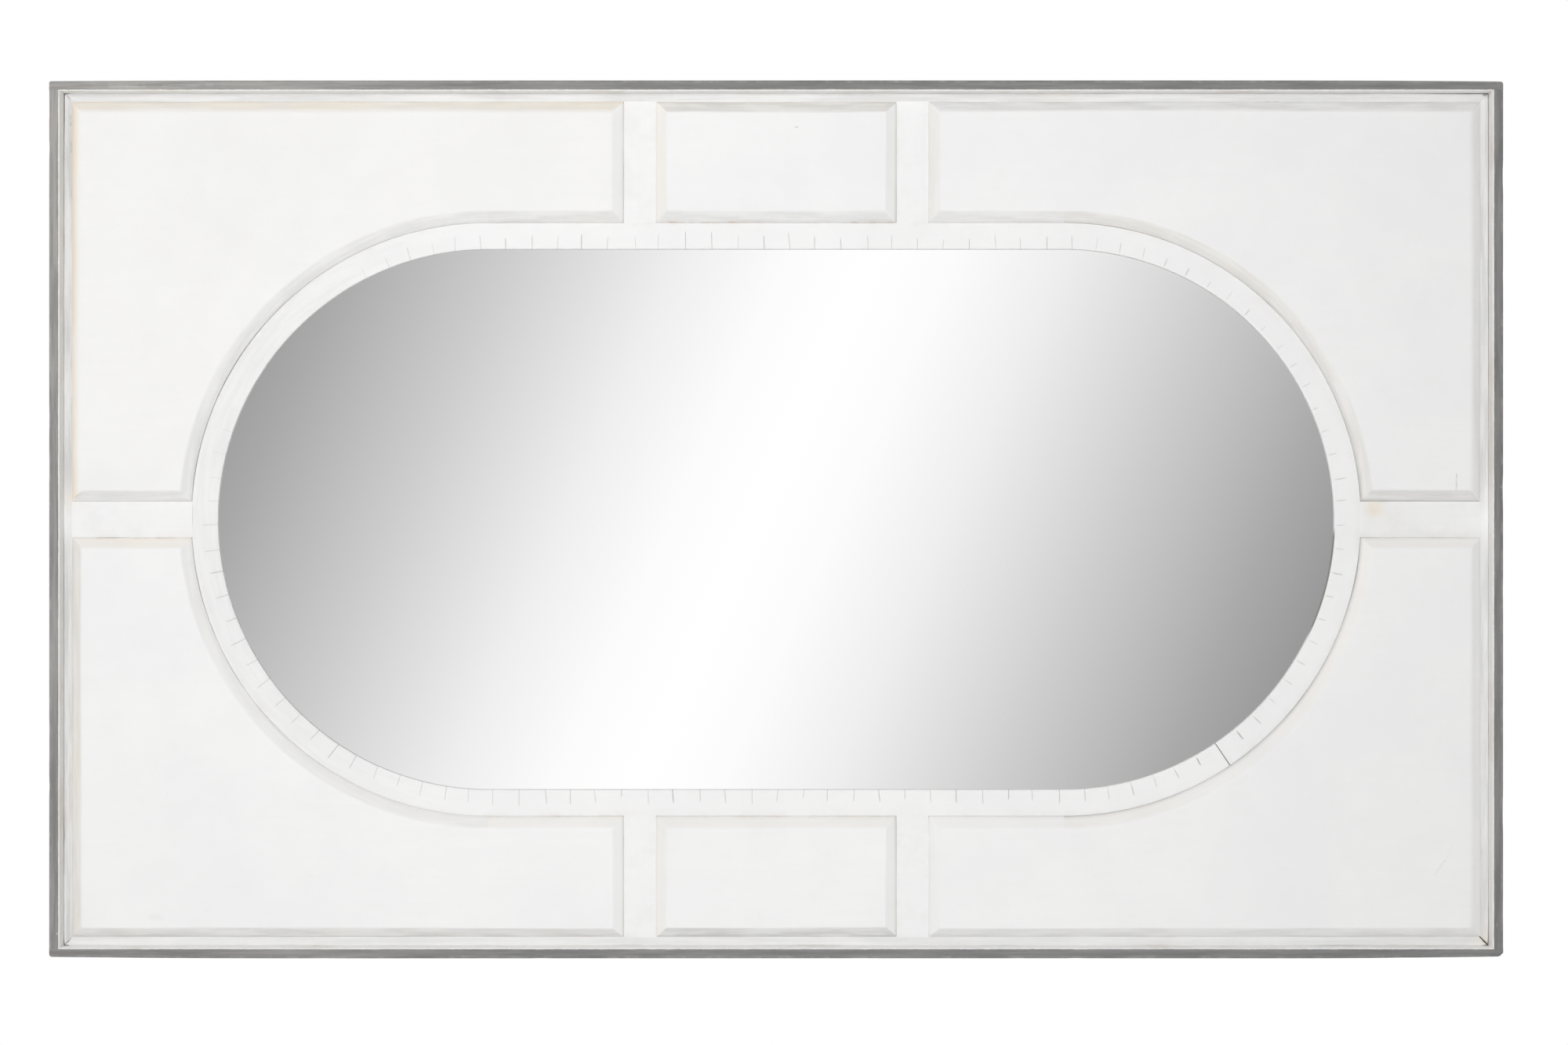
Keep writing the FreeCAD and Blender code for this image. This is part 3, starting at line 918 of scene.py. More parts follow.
class Finishes:
    """All materials of the mirror, made once, with the single knocks that each piece took and one painted
    shadow at a gap.
    """
    member_x: Material
    member_z: Material
    strip: Material
    panel: Material
    tray_x: Material
    tray_z: Material
    glass: Material
    plywood: Material
    card: Material
    hardboard: Material
    zinc: Material
    hanger: Material
    soot: Colour = (0.30, 0.29, 0.28, 1.0)
    dust: Colour = (0.62, 0.62, 0.615, 1.0)
    # Black for a painted shadow where a gap opens at the top right corner of the margin.
    gap_black: Colour = (0.07, 0.06, 0.05, 1.0)
    chip_brown: Colour = (0.16, 0.13, 0.11, 1.0)
    chalk: Colour = (0.80, 0.79, 0.77, 1.0)
    worn_grey: Colour = (0.52, 0.51, 0.50, 1.0)
    # A brighter white for the inner walls of the top and bottom boards: painted light.
    upper_wall_white: Colour = (0.93, 0.925, 0.91, 1.0)
    member_face: float = -0.008
    member_blotches: float = 0.4
    # A chip, and a painted shadow at the corner gap.
    chips = (Scuff((0.521, 0.4448), (0.535, 0.4446), 0.0011, chip_brown, 0.8),
             Scuff((0.7535, 0.4522), (0.7575, 0.4524), 0.0012, gap_black, 0.9))
    smears = (Scuff((-0.7522, 0.4310), (-0.7518, 0.4200), 0.0022, soot, 0.36),
              Scuff((-0.7510, 0.4020), (-0.7512, 0.3920), 0.0020, soot, 0.30),
              Scuff((-0.7500, 0.3540), (-0.7503, 0.3440), 0.0020, soot, 0.32),
              Scuff((-0.7480, -0.0040), (-0.7440, -0.0060), 0.0040, dust, 0.35),
              Scuff((0.7530, 0.3000), (0.7532, 0.2700), 0.0016, dust, 0.5))
    panel_knocks = (Scuff((0.7226, 0.0479), (0.7222, 0.0312), 0.0013, soot, 0.40),
                    Scuff((0.7101, -0.3625), (0.6993, -0.3775), 0.0013, dust, 0.45),
                    Scuff((0.7184, -0.3467), (0.7101, -0.3625), 0.0014, dust, 0.15),
                    Scuff((-0.6620, -0.4220), (-0.6540, -0.4232), 0.0065, dust, 0.16),
                    Scuff((0.0206, 0.4167), (0.0230, 0.4166), 0.0010, soot, 0.6))
    rubs = (Scuff((-0.705, 0.4592), (-0.670, 0.4590), 0.0042, worn_grey, 0.85),
            Scuff((-0.648, 0.4598), (-0.598, 0.4594), 0.0034, worn_grey, 0.55))
    nicks = (Scuff((0.7668, 0.0342), (0.7682, 0.0347), 0.0009, chalk, 0.9),
             Scuff((0.7629, -0.4275), (0.7631, -0.4310), 0.0008, chalk, 0.9),
             Scuff((-0.7614, -0.4380), (-0.7614, -0.4392), 0.0008, chalk, 0.8))

    def __init__(self) -> None:
        """Builds the effects and every material."""
        finishes = {
            "member_x": Whitewash("whitewash_along_x", Flow.WIDTH, self.member_face, self.chips,
                                  blotches=self.member_blotches),
            "member_z": Whitewash("whitewash_along_z", Flow.HEIGHT, self.member_face, self.smears,
                                  blotches=self.member_blotches),
            "strip": Whitewash("whitewash_on_bent_strip", Flow.STRIP),
            "panel": Whitewash("whitewash_on_panels", scuffs=self.panel_knocks, rimmed=True),
            # The boards along X get the brighter inner wall: painted light.
            "tray_x": TrayPaint("tray_paint_along_x", scuffs=self.rubs, white=self.upper_wall_white),
            "tray_z": TrayPaint("tray_paint_along_z", Flow.HEIGHT, scuffs=self.nicks),
            "glass": Silvering("silvered_glass"),
            # Its front is darkened: painted shade in the gaps.
            "plywood": Board("carrier_plywood", grimy_to=-0.0049),
            "card": Board("pad_card", light=(0.56, 0.43, 0.29, 1.0), deep=(0.44, 0.32, 0.2, 1.0),
                          stretch=(1.0, 1.0, 1.0), grain_share=0.15),
            "hardboard": Board("back_hardboard", light=(0.285, 0.175, 0.10, 1.0),
                               deep=(0.20, 0.115, 0.062, 1.0), stretch=(1.0, 1.0, 1.0), grain_scale=70.0,
                               grain_share=0.25, roughness=(0.40, 0.62), fibre=(0.47, 0.33, 0.21, 1.0),
                               fibre_share=0.55),
            "zinc": PlatedSteel("zinc_plating"),
            "hanger": PlatedSteel("hanger_plating", bright=(0.66, 0.65, 0.63, 1.0))}
        effects = Effects()
        for use, finish in finishes.items():
            setattr(self, use, finish.material(effects))


def unaged(x: Array, z: Array) -> Array:
    """No ageing, at any place across and up."""
    return np.zeros_like(x)


def level_at(value: float) -> Course:
    """A square trim, with the same end for every place across."""
    return lambda across: np.full_like(across, value)


@dataclass
class Plank:
    """A straight member of rounded section, cut off at each end by a line or a curve.

    A point lies at its section's place across and in depth. Along, it lies between the start and the end
    that the trims give for its place across, and the last few rows draw in to ease the end's arris.
    """
    lie: Lie
    low: tuple[float, float]
    high: tuple[float, float]
    start: Course
    end: Course
    radii: tuple[float, float, float, float]
    end_ease: float = 0.0005
    end_rows: int = 4
    step: float = 0.012
    bow: float = 0.0
    dents: float = 0.0
    dent_share: float = 0.37
    dent_level: float = 0.45
    seed: int = 0
    inner_sign: int = 0
    inner_reach: float = math.inf
    inner_share: float = 0.34
    glaze: float = 0.0
    pale_middle: float = 0.0
    pale_share: float = 0.85
    rub: float = 1.0
    fill: Course = np.zeros_like
    age: Callable[[Array, Array], Array] = unaged

    def rows(self, length: float) -> tuple[Array, ...]:
        """Rows of the grid: a quarter circle over the arris at each end, and even steps between.

        Args:
            length: The member's mean length.

        Returns:
            Share of the way, shift along and shrink across, each as a column with a value for every row.
        """
        shift, shrink = self.end_ease * quarter_round(self.end_rows)
        inner = np.linspace(0.0, 1.0, max(int(length / self.step), 3))[1:-1]
        level = np.zeros(len(inner))
        made = ([np.zeros(self.end_rows), inner, np.ones(self.end_rows)], [shift, level, -shift[::-1]],
                [shrink, level, shrink[::-1]])
        return tuple(np.concatenate(row)[:, None] for row in made)

    def shell(self) -> Shell:
        """Works out the member's grid.

        Returns:
            The mesh.
        """
        section, arris = rounded_section(self.low, self.high, self.radii)
        across, depth = section[:, 0], section[:, 1]
        start, end = self.start(across), self.end(across)
        length = float(np.mean(end - start))
        share, shift, shrink = self.rows(length)
        along = start + (end - start) * share + shift
        middle = 0.5 * (np.array(self.low) + np.array(self.high))
        half = 0.5 * (np.array(self.high) - np.array(self.low))
        side = np.sign(across - middle[0])
        knocked = wander(along, self.dent_share * length, self.seed + 1, 9) - self.dent_level
        bite = self.dents * np.clip(knocked, 0.0, None) * arris
        wide = middle[0] + (across - middle[0]) * (1.0 - shrink / half[0])
        wide = wide + self.bow * wander(along, 2.0 * length, self.seed) - bite * side
        wide = wide - self.inner_sign * self.fill(along) * (side == -self.inner_sign)
        deep = middle[1] + (depth - middle[1]) * (1.0 - shrink / half[1]) - bite * np.sign(depth - middle[1])
        x, z = (along, wide) if self.lie is Lie.ALONG_X else (wide, along)
        facing = np.clip((across - middle[0]) / half[0] * self.inner_sign, 0.0, 1.0)
        near = smooth_step(1.0 - (1.0 - facing) / self.inner_share) * (np.abs(along) < self.inner_reach)
        glaze = self.glaze * np.ones_like(along)
        if self.pale_middle:
            glaze = glaze * (1.0 - self.pale_share * np.exp(-(along / self.pale_middle) ** 2))
        return Shell().grid(x, deep, z, capped=True, edge=self.rub * arris, inner=near,
                            patina=np.clip(self.age(x, z), 0.0, 1.0), glaze=glaze)


@dataclass
class Assembly(ABC):
    """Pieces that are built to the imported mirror's layout, in its finishes."""
    layout: Layout
    finishes: Finishes

    @abstractmethod
    def build(self) -> None:
        """Makes the pieces."""


@dataclass
class Tray(Assembly):
    """The four edge boards: long ones over and under, short ones butted between them."""
    slot: str = "grey_edge_paint"
    paint_film: float = 0.00012
    outer_arris: float = 0.0016
    inner_arris: float = 0.0009
    rear_arris: float = 0.0006
    end_arris: float = 0.0009
    bridge: float = 0.0012
    bridge_film: float = 0.00005
    bow: float = 0.00006
    dents: float = 0.0005
    corner_radii = by_corner(0.0018, 0.0028, 0.0030, 0.0068)
    planed_reach: float = 0.25
    planed_ends = by_corner(0.0007, 0.0012, 0.0015, 0.0020)
    left_fading: Triple = (0.45, 0.9, 0.9)
    even_fading: float = 0.1
    fades_from: float = 0.4

    def fading(self, x: Array, z: Array) -> Array:
        """How much paler the grey is: it grows with the square of the way left and with the height.

        Args:
            x: Place across.
            z: Place up.

        Returns:
            The paling at each place.
        """
        left = np.clip(-x / self.layout.half_width, 0.0, 1.0) ** 2
        level, slope, curve = self.left_fading
        even = self.even_fading * np.clip(self.fades_from - x, 0.0, 1.0)
        return left * (level + slope * z + curve * z ** 2) + even

    def corner_trim(self, side: Side, level: Level) -> Course:
        """The rounded outer corner of a long board.

        Past the corner's centre the end draws back by the radius less the root of radius^2 - rise^2.

        Args:
            side: Which end.
            level: Which board.

        Returns:
            The end's place for each place across.
        """
        radius = self.corner_radii[side, level]
        top = self.layout.half_height + self.paint_film
        end = self.layout.half_width + self.paint_film - self.bridge_film

        def trim(across: Array) -> Array:
            """Place of the end at each place across."""
            rise = np.clip(across * level.value - (top - radius), 0.0, radius)
            return side.value * (end - (radius - np.sqrt(radius ** 2 - rise ** 2)))
        return trim

    def planed(self, level: Level) -> Course:
        """How far a long board's outer edge was planed away near its ends.

        Over the last stretch before an end, the edge draws in by the square of the way into that stretch.

        Args:
            level: Which board.

        Returns:
            The edge's shift outwards, never above 0, at each place along.
        """
        def shift(run: Array) -> Array:
            """Adds up the planing of both ends.

            Args:
                run: Place along.

            Returns:
                The shift at each place.
            """
            past = {side: side.value * run - self.layout.half_width + self.planed_reach for side in Side}
            return -sum(self.planed_ends[side, level] * np.clip(past[side] / self.planed_reach, 0.0, 1.0) ** 2
                        for side in Side)
        return shift

    def radii(self, sign: int) -> tuple[float, float, float, float]:
        """Arris radii of a board whose outer side has that sign."""
        front = (self.outer_arris, self.inner_arris)[::sign]
        return *front, self.rear_arris, self.rear_arris

    def build(self) -> None:
        """Makes the four boards."""
        plan = self.layout
        inner_x = plan.half_width - plan.board
        inner_z = plan.half_height - plan.board
        alike = {"bow": self.bow, "dents": self.dents, "age": self.fading}
        for seed, level in enumerate(Level, 10):
            edges = sorted((level.value * inner_z, level.value * (plan.half_height + self.paint_film)))
            board = Plank(
                Lie.ALONG_X, (edges[0], plan.front + self.bridge_film),
                (edges[1], plan.wall - self.bridge_film), *(self.corner_trim(side, level) for side in Side),
                self.radii(level.value), self.end_arris, seed=seed, inner_sign=-level.value,
                inner_reach=inner_x, fill=self.planed(level), **alike)
            board.shell().build(level.word + "_tray_board", self.finishes.tray_x, self.slot,
                                "edge_board_" + level.word)
        reach = inner_z + self.bridge
        for seed, side in enumerate(Side, 20):
            edges = sorted((side.value * inner_x, side.value * (plan.half_width + self.paint_film)))
            board = Plank(
                Lie.ALONG_Z, (edges[0], plan.front), (edges[1], plan.wall), level_at(-reach), level_at(reach),
                self.radii(side.value), self.bridge_film, seed=seed, inner_sign=-side.value, **alike)
            board.shell().build(side.word + "_tray_board", self.finishes.tray_z, self.slot,
                                "edge_board_" + side.word)


@dataclass
class FaceFrame(Assembly):
    """Margin strips round the face and the stubs between them and the ring.

    Stains are given by their X, Z, size and strength, and filled gaps by place along and share of the gap.
    """
    slot: str = "whitewashed_members"
    arris: float = 0.00016
    filled_arris: float = 0.0001
    rear_arris: float = 0.00004
    rub: float = 0.10
    step: float = 0.006
    bow: float = 0.00008
    dents: float = 0.0003
    bridge: float = 0.0012
    paint_film: float = 0.00004
    mitre_gaps = by_corner(0.0, 0.0, 0.00005, 0.0012)
    # Grey on each margin strip and on the rails, much of it painted shade: darkest on the left.
    margin_glaze = {"left": 0.80, "right": 0.68, "top": 0.50, "bottom": 0.30}
    rail_glaze: float = 0.03
    pale_middle: float = 0.034
    stains: tuple = ((0.637, 0.012, 0.009, 0.8), (0.660, 0.004, 0.014, 0.15), (0.752, -0.448, 0.010, 0.55),
                     (-0.752, 0.02, 0.012, 0.25), (0.30, 0.449, 0.02, 0.2))
    gap: float = 0.001
    filled = {
        "left": ((-0.45, 0.72), (-0.36, 0.78), (-0.336, 0.40), (-0.31, 0.78), (-0.05, 0.74), (0.0, 0.97),
                 (0.1, 0.82), (0.35, 0.76), (0.40, 0.60), (0.43, 0.2)),
        "right": ((-0.45, 0.40), (-0.38, 0.75), (-0.1, 0.90), (0.05, 0.75), (0.2, 0.65), (0.26, 0.45),
                  (0.33, 0.45), (0.4, 0.62), (0.45, 0.60)),
        "top": ((0.33, 1.06), (0.42, 0.94), (0.66, 0.92), (0.70, 0.70), (0.745, 0.4)),
        "bottom": ((-0.75, 0.90), (-0.2, 0.94), (0.0, 0.85), (0.2, 1.0), (0.75, 0.92))}
    fill_wander: float = 0.05
    fill_period: float = 0.4
    fill_fade: float = 0.0016

    def mitre(self, side: Side, level: Level, lie: Lie) -> Course:
        """A 45 degree trim at one corner of the margin.

        Args:
            side: The corner's side.
            level: The corner's level.
            lie: Which of the two strips is trimmed.

        Returns:
            The end's place for each place across.
        """
        corner_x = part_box("margin_strip_right")[1].x
        corner_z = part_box("margin_strip_top")[1].z
        gap = self.mitre_gaps[side, level] / math.sqrt(2.0)
        if lie is Lie.ALONG_X:
            return lambda across: side.value * (corner_x - (corner_z - np.abs(across)) - gap)
        return lambda across: level.value * (corner_z - (corner_x - np.abs(across)) - gap)

    def cope(self, side: Side, radius: float) -> Course:
        """The hollow end of a side rail, an arc of that radius about the end of the ring's straight."""
        return lambda across: side.value * (self.layout.half_straight + np.sqrt(radius ** 2 - across ** 2))

    def fill(self, edge: str) -> Course:
        """How far paint fills the gap between a strip and the tray, along the strip.

        Args:
            edge: Which strip.

        Returns:
            The filled width at each place along.
        """
        places, shares = np.array(self.filled[edge]).T
        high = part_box("margin_strip_" + edge)[1]
        end = high.x if edge in ("top", "bottom") else high.z

        def width(run: Array) -> Array:
            """Multiplies the gap by its share, which wanders and ends at the mitres.

            Args:
                run: Place along.

            Returns:
                The width at each place.
            """
            share = np.interp(run, places, shares)
            share = share + self.fill_wander * (share < 1.0) * wander(run, self.fill_period, len(edge), 9)
            return self.gap * share * smooth_step((end - np.abs(run)) / self.fill_fade - 0.5)
        return width

    def stain(self, x: Array, z: Array) -> Array:
        """Yellowing in a few round stains: the sum of strength times e^-(distance / size)^2.

        Args:
            x: Place across.
            z: Place up.

        Returns:
            The yellowing at each place.
        """
        spot_x, spot_z, size, strength = np.array(self.stains).T
        away = (x[..., None] - spot_x) ** 2 + (z[..., None] - spot_z) ** 2
        return (strength * np.exp(-away / size ** 2)).sum(-1)

    def strip(self, node: str, lie: Lie, ends: Sequence[Course], name: str, edge: Side | Level | None = None,
              glaze: float = 0.0) -> None:
        """Makes one flat member between two trims.

        Args:
            node: The node that it stands for.
            lie: Which way it runs.
            ends: Its two trims.
            name: The piece's name.
            edge: Which edge of the mirror it lies along, if it does.
            glaze: How grey its glaze and painted shade are.
        """
        low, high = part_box(node)
        level = lie is Lie.ALONG_X
        edges = (low.z, high.z) if level else (low.x, high.x)
        front = [self.arris, self.arris]
        along_edge = {"rub": self.rub, "glaze": glaze}
        if edge:
            along_edge.update(inner_sign=-edge.value, fill=self.fill(edge.word))
            if level:
                front[0 if edge.value > 0 else 1] = self.filled_arris
            else:
                along_edge["pale_middle"] = self.pale_middle
        face = low.y if edge else low.y - self.paint_film
        member = Plank(
            lie, (edges[0], face), (edges[1], high.y), *ends, (*front, self.rear_arris, self.rear_arris),
            self.paint_film, step=self.step, bow=self.bow, dents=self.dents, seed=len(node), age=self.stain,
            **along_edge)
        finish = self.finishes.member_x if level else self.finishes.member_z
        member.shell().build(name, finish, self.slot, node)

    def build(self) -> None:
        """Makes the four strips, the four uprights and the two rails."""
        for level in Level:
            ends = [self.mitre(side, level, Lie.ALONG_X) for side in Side]
            self.strip("margin_strip_" + level.word, Lie.ALONG_X, ends, level.word + "_margin", level,
                       self.margin_glaze[level.word])
        for side in Side:
            ends = [self.mitre(side, level, Lie.ALONG_Z) for level in Level]
            self.strip("margin_strip_" + side.word, Lie.ALONG_Z, ends, side.word + "_margin", side,
                       self.margin_glaze[side.word])
        for level in Level:
            for side in Side:
                node = f"stub_{level.word}_{side.word}"
                low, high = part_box(node)
                ends = level_at(low.z - self.bridge), level_at(high.z + self.bridge)
                self.strip(node, Lie.ALONG_Z, ends, f"{level.word}_{side.word}_upright")
        for side in Side:
            node = "side_stub_" + side.word
            near, far = sorted(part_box(node), key=lambda corner: abs(corner.x))
            radius = math.hypot(abs(near.x) - self.layout.half_straight, near.z) - self.bridge
            ends = self.cope(side, radius), level_at(far.x + side.value * self.bridge)
            self.strip(node, Lie.ALONG_X, ends[::side.value], side.word + "_rail", glaze=self.rail_glaze)


@dataclass
class KerfedRing(Assembly):
    """The strip bent round the glass, sawn with kerfs on its inner side and closed by one butt joint.

    A column of its grid is a section at one run: up the outer wall, in across the face, over the sight
    arris and down to the glass. Rows of the face move with the kerf's own length, so that each kerf ends on
    a row, and a kerf's columns are sunk by its depth.
    """
    width: float = 0.028
    pitch: float = 0.0275
    pitch_spread: float = 0.0009
    joint_angle: float = math.radians(-56.0)
    joint_neighbours: tuple[float, float] = (0.85, 0.7)
    outer_arris: float = 0.0003
    sight_arris: float = 0.0010
    arris_rows: int = 4
    wall_rows: int = 2
    kerf_columns: int = 6
    kerf_rows: Triple = (0.0, 0.0007, 0.0035)
    near_shares: tuple[float, float] = (0.55, 0.28)
    bay_shares: tuple[float, ...] = (0.16, 0.32, 0.48, 0.64, 0.78)
    kerf_length: float = 0.0145
    kerf_spread: float = 0.0022
    kerf_half_width: float = 0.0006
    kerf_floor_share: float = 0.4
    kerf_lip: float = 0.0004
    kerf_end_share: float = 0.55
    deepest: float = 0.0006
    shallow_share: float = 0.35
    faintest: float = 0.30
    strength_spread: float = 0.45
    strength_beta: tuple[float, float] = (1.6, 2.6)
    weakest: float = 0.03
    firm: float = 0.8
    width_shares: tuple[float, float] = (0.7, 0.6)
    corner_eases: tuple[Triple, Triple] = ((-1.6, 1.4, 0.3), (1.3, -1.2, 0.4))
    upper_left_pale: float = 0.86
    lower_right_dark: float = 0.35
    right_ease: float = 1.4
    right_pale: float = 0.40
    right_broad: float = 0.6
    right_short: float = 0.2
    closing_start: float = 0.2
    right_closing: tuple[float, ...] = (0.6, 1.0, 1.0, 1.0, 1.0)
    # A painted shadow along the right sight edge, laid through the kerf mark.
    shadow_from: float = math.radians(-1.5)
    shadow_to: float = math.radians(-28.0)
    shadow_eases: tuple[float, float] = (0.04, 0.10)
    shadow_rows: int = 5
    outer_rub: float = 0.10
    sight_rub: float = 0.06
    # Grey on the ring's left side: painted shade, with glaze.
    left_glaze: float = 0.18
    glaze_ease: float = -1.5
    lean: float = 0.05
    seed: int = 7
    face_wave: float = 0.00004

    @property
    def straight(self) -> float:
        """Length of one straight."""
        return 2.0 * self.layout.half_straight

    @property
    def bend(self) -> float:
        """Length of one half circle, along the outer edge."""
        return math.pi * self.layout.ring_outer

    @property
    def total(self) -> float:
        """Length all round, along the outer edge."""
        return 2.0 * (self.straight + self.bend)

    def place(self, run: Array) -> tuple[Array, Array]:
        """Foot and outward direction on the racetrack at each run along its outer edge.

        The run starts at the left end of the upper straight and goes clockwise; on a half circle the
        direction turns by the run over the outer radius, and on a straight the foot moves instead.

        Args:
            run: Distances along the outer edge.

        Returns:
            Feet and directions, each as X and Z.
        """
        half, radius = self.layout.half_straight, self.layout.ring_outer
        s = np.mod(run, self.total)
        bounds = [s < self.straight, s < self.straight + self.bend, s < 2.0 * self.straight + self.bend]
        right = QUARTER - (s - self.straight) / radius
        left = -QUARTER - (s - 2.0 * self.straight - self.bend) / radius
        angle = np.select(bounds, [QUARTER, right, -QUARTER], left)
        foot = np.select(bounds, [s - half, half, half - (s - self.straight - self.bend)], -half)
        return np.stack([foot, np.zeros_like(foot)], -1), np.stack([np.cos(angle), np.sin(angle)], -1)

    def kerfs(self) -> tuple[Array, ...]:
        """Where the kerfs are and how they came out of the saw.

        Returns:
            Run, strength, length and lean of each; the first is the butt joint.
        """
        rng = np.random.default_rng(self.seed)
        count = round(self.total / self.pitch)
        joint = self.straight + (QUARTER - self.joint_angle) * self.layout.ring_outer
        runs = joint + np.arange(count) * self.total / count
        runs[1:] += rng.normal(0.0, self.pitch_spread, count - 1)
        strength = self.faintest + self.strength_spread * rng.beta(*self.strength_beta, count)
        x, z = self.place(runs)[1].T
        right = smooth_step(self.right_ease * x)
        upper_left, lower_right = (smooth_step(across * x) * smooth_step(up * z + level)
                                   for across, up, level in self.corner_eases)
        strength = strength * (1.0 - self.upper_left_pale * upper_left)
        strength = strength * (1.0 + self.lower_right_dark * lower_right) * (1.0 - self.right_pale * right)
        strength = np.clip(strength, self.weakest, 1.0)
        length = self.kerf_length + rng.normal(0.0, self.kerf_spread, count)
        length = length * (1.0 - self.right_short * right)
        lean = rng.normal(0.0, self.lean, count)
        strength[0], length[0], lean[0] = 1.0, self.width - 2.0 * self.outer_arris, 0.0
        strength[[1, -1]] = self.joint_neighbours
        return runs, strength, length, lean

    def columns(self) -> tuple[Array, ...]:
        """Columns of the grid: a few across each kerf, from lip to lip, and a few in the bay that follows.

        Returns:
            Run, kerf length, lean and cut of each; the cut is the kerf's strength on its floor, else 0.
        """
        runs, strength, length, lean = self.kerfs()
        right = smooth_step(self.right_ease * self.place(runs)[1][:, 0])
        half = self.kerf_half_width * (self.width_shares[0] + self.width_shares[1] * strength)
        half = half * (1.0 + self.right_broad * right * (strength < self.firm))
        floor, lip = self.kerf_floor_share * half, half + self.kerf_lip
        bays = np.tile(self.bay_shares, (len(runs), 1))
        offsets = np.stack([-lip, -half, -floor, floor, half, lip], -1)
        station = runs[:, None] + np.concatenate([offsets, self.pitch * bays], -1)
        ahead = np.concatenate([np.zeros_like(offsets), bays], -1)
        cut = np.zeros_like(station)
        cut[:, 2:4] = strength[:, None]
        kerf_end, slant = (v[:, None] + (np.roll(v, -1) - v)[:, None] * ahead for v in (length, lean))
        return tuple(values.reshape(-1, 1) for values in (station, kerf_end, slant, cut))

    def section(self, kerf_end: Array) -> tuple[Array, Array]:
        """Rows of the grid, from the foot of the outer wall to the foot of the sight edge.

        Args:
            kerf_end: How far from the sight edge the kerf of each column ends.

        Returns:
            Reach from the sight edge and drop below the face, by column and row.
        """
        rising, falling = quarter_round(self.arris_rows)
        thick = self.layout.carrier - self.layout.face
        ones = np.ones_like(kerf_end)
        run_in, near = np.array(self.kerf_rows), np.array(self.near_shares)
        wall = np.array([thick, 0.5 * thick])
        outer = self.width - self.outer_arris * rising
        reach = np.concatenate([
            ones * np.full(self.wall_rows, self.width), ones * outer, 0.5 * (kerf_end + outer[-1]),
            kerf_end - run_in, near * (kerf_end - run_in[-1]),
            ones * self.sight_arris * falling, ones * np.zeros(self.wall_rows)], -1)
        drop = np.concatenate([
            wall, self.outer_arris * falling, np.zeros(1 + len(run_in) + len(near)),
            self.sight_arris * rising, wall[::-1]])
        return reach, ones * drop

    def grooves(self, station: Array, cut: Array, rows: int) -> Array:
        """How far each point of the grid is cut: only the butt joint runs right across the strip.

        Towards the right the kerfs close again at the sight edge.

        Args:
            station: Run of each column.
            cut: Cut of each column.
            rows: How many rows the grid has.

        Returns:
            The cut by column and row.
        """
        joint = np.zeros_like(cut)
        joint[:self.kerf_columns] = cut[:self.kerf_columns]
        end = self.wall_rows + self.arris_rows + 1
        foot = rows - self.wall_rows
        closed = smooth_step(self.right_ease * self.place(station[:, 0])[1][:, :1] + self.closing_start)
        groove = np.zeros((len(cut), rows))
        groove[:, self.wall_rows:foot] = joint
        groove[:, end + 1:end + 2] = np.maximum(self.kerf_end_share * cut, joint)
        groove[:, end + 2:foot] = cut
        closing = np.array(self.right_closing)
        groove[:, foot - len(closing):foot] = np.maximum(cut * (1.0 - closed * closing), joint)
        return groove

    def build(self) -> None:
        """Carries the strip's section along the racetrack and presses the kerfs into it."""
        plan = self.layout
        station, kerf_end, slant, cut = self.columns()
        reach, drop = self.section(kerf_end)
        rows = reach.shape[1]
        groove = self.grooves(station, cut, rows)
        depth = self.deepest * (self.shallow_share + (1.0 - self.shallow_share) * cut)
        drop = np.maximum(drop, groove * depth)
        on_face = drop < 0.5 * (plan.carrier - plan.face)
        drop = drop + self.face_wave * wander(station, self.total, self.seed + 3, 12) * on_face
        feet, outward = self.place(station + slant * (reach - 0.5 * self.width))
        flat = feet + outward * (plan.ring_outer - self.width + reach)[..., None]
        edge = np.zeros(rows)
        edge[self.wall_rows:][:self.arris_rows] = self.outer_rub
        edge[:-self.wall_rows][-self.arris_rows:] = self.sight_rub
        turn = np.arctan2(outward[..., 1], outward[..., 0])
        shade = smooth_step((self.shadow_from - turn) / self.shadow_eases[0])
        shade = shade * smooth_step((turn - self.shadow_to) / self.shadow_eases[1])
        shade[:, :-self.shadow_rows] = 0.0
        # The kerf mark carries the kerfs and the painted shadow at the sight edge.
        shell = Shell().grid(
            flat[..., 0], plan.face + drop, flat[..., 1], looped=True,
            kerf=np.maximum(groove, shade), edge=edge, run=station, reach=reach,
            glaze=self.left_glaze * smooth_step(self.glaze_ease * outward[..., 0]))
        shell.build("kerf_bent_ring", self.finishes.strip, "whitewashed_members", "kerfed_ring")


@dataclass(frozen=True)
class RimWork:
    """How one side of a panel came out of the workshop and has aged.

    Its yellowing, its grey glaze with painted shade, and its rub come first, then the bevel's width to the
    middle of its round-over, half the round-over's width, the gap to the neighbour and how dark the painted
    shade line at its lip is.
    """
    yellow: float = 0.04
    glaze: float = 0.0
    rub: float = 0.025
    bevel: float = 0.0118
    soften: float = 0.0016
    gap: float = -0.0001
    # Darkness of the painted shade line along the lip, laid through the kerf mark.
    line: float = 0.12


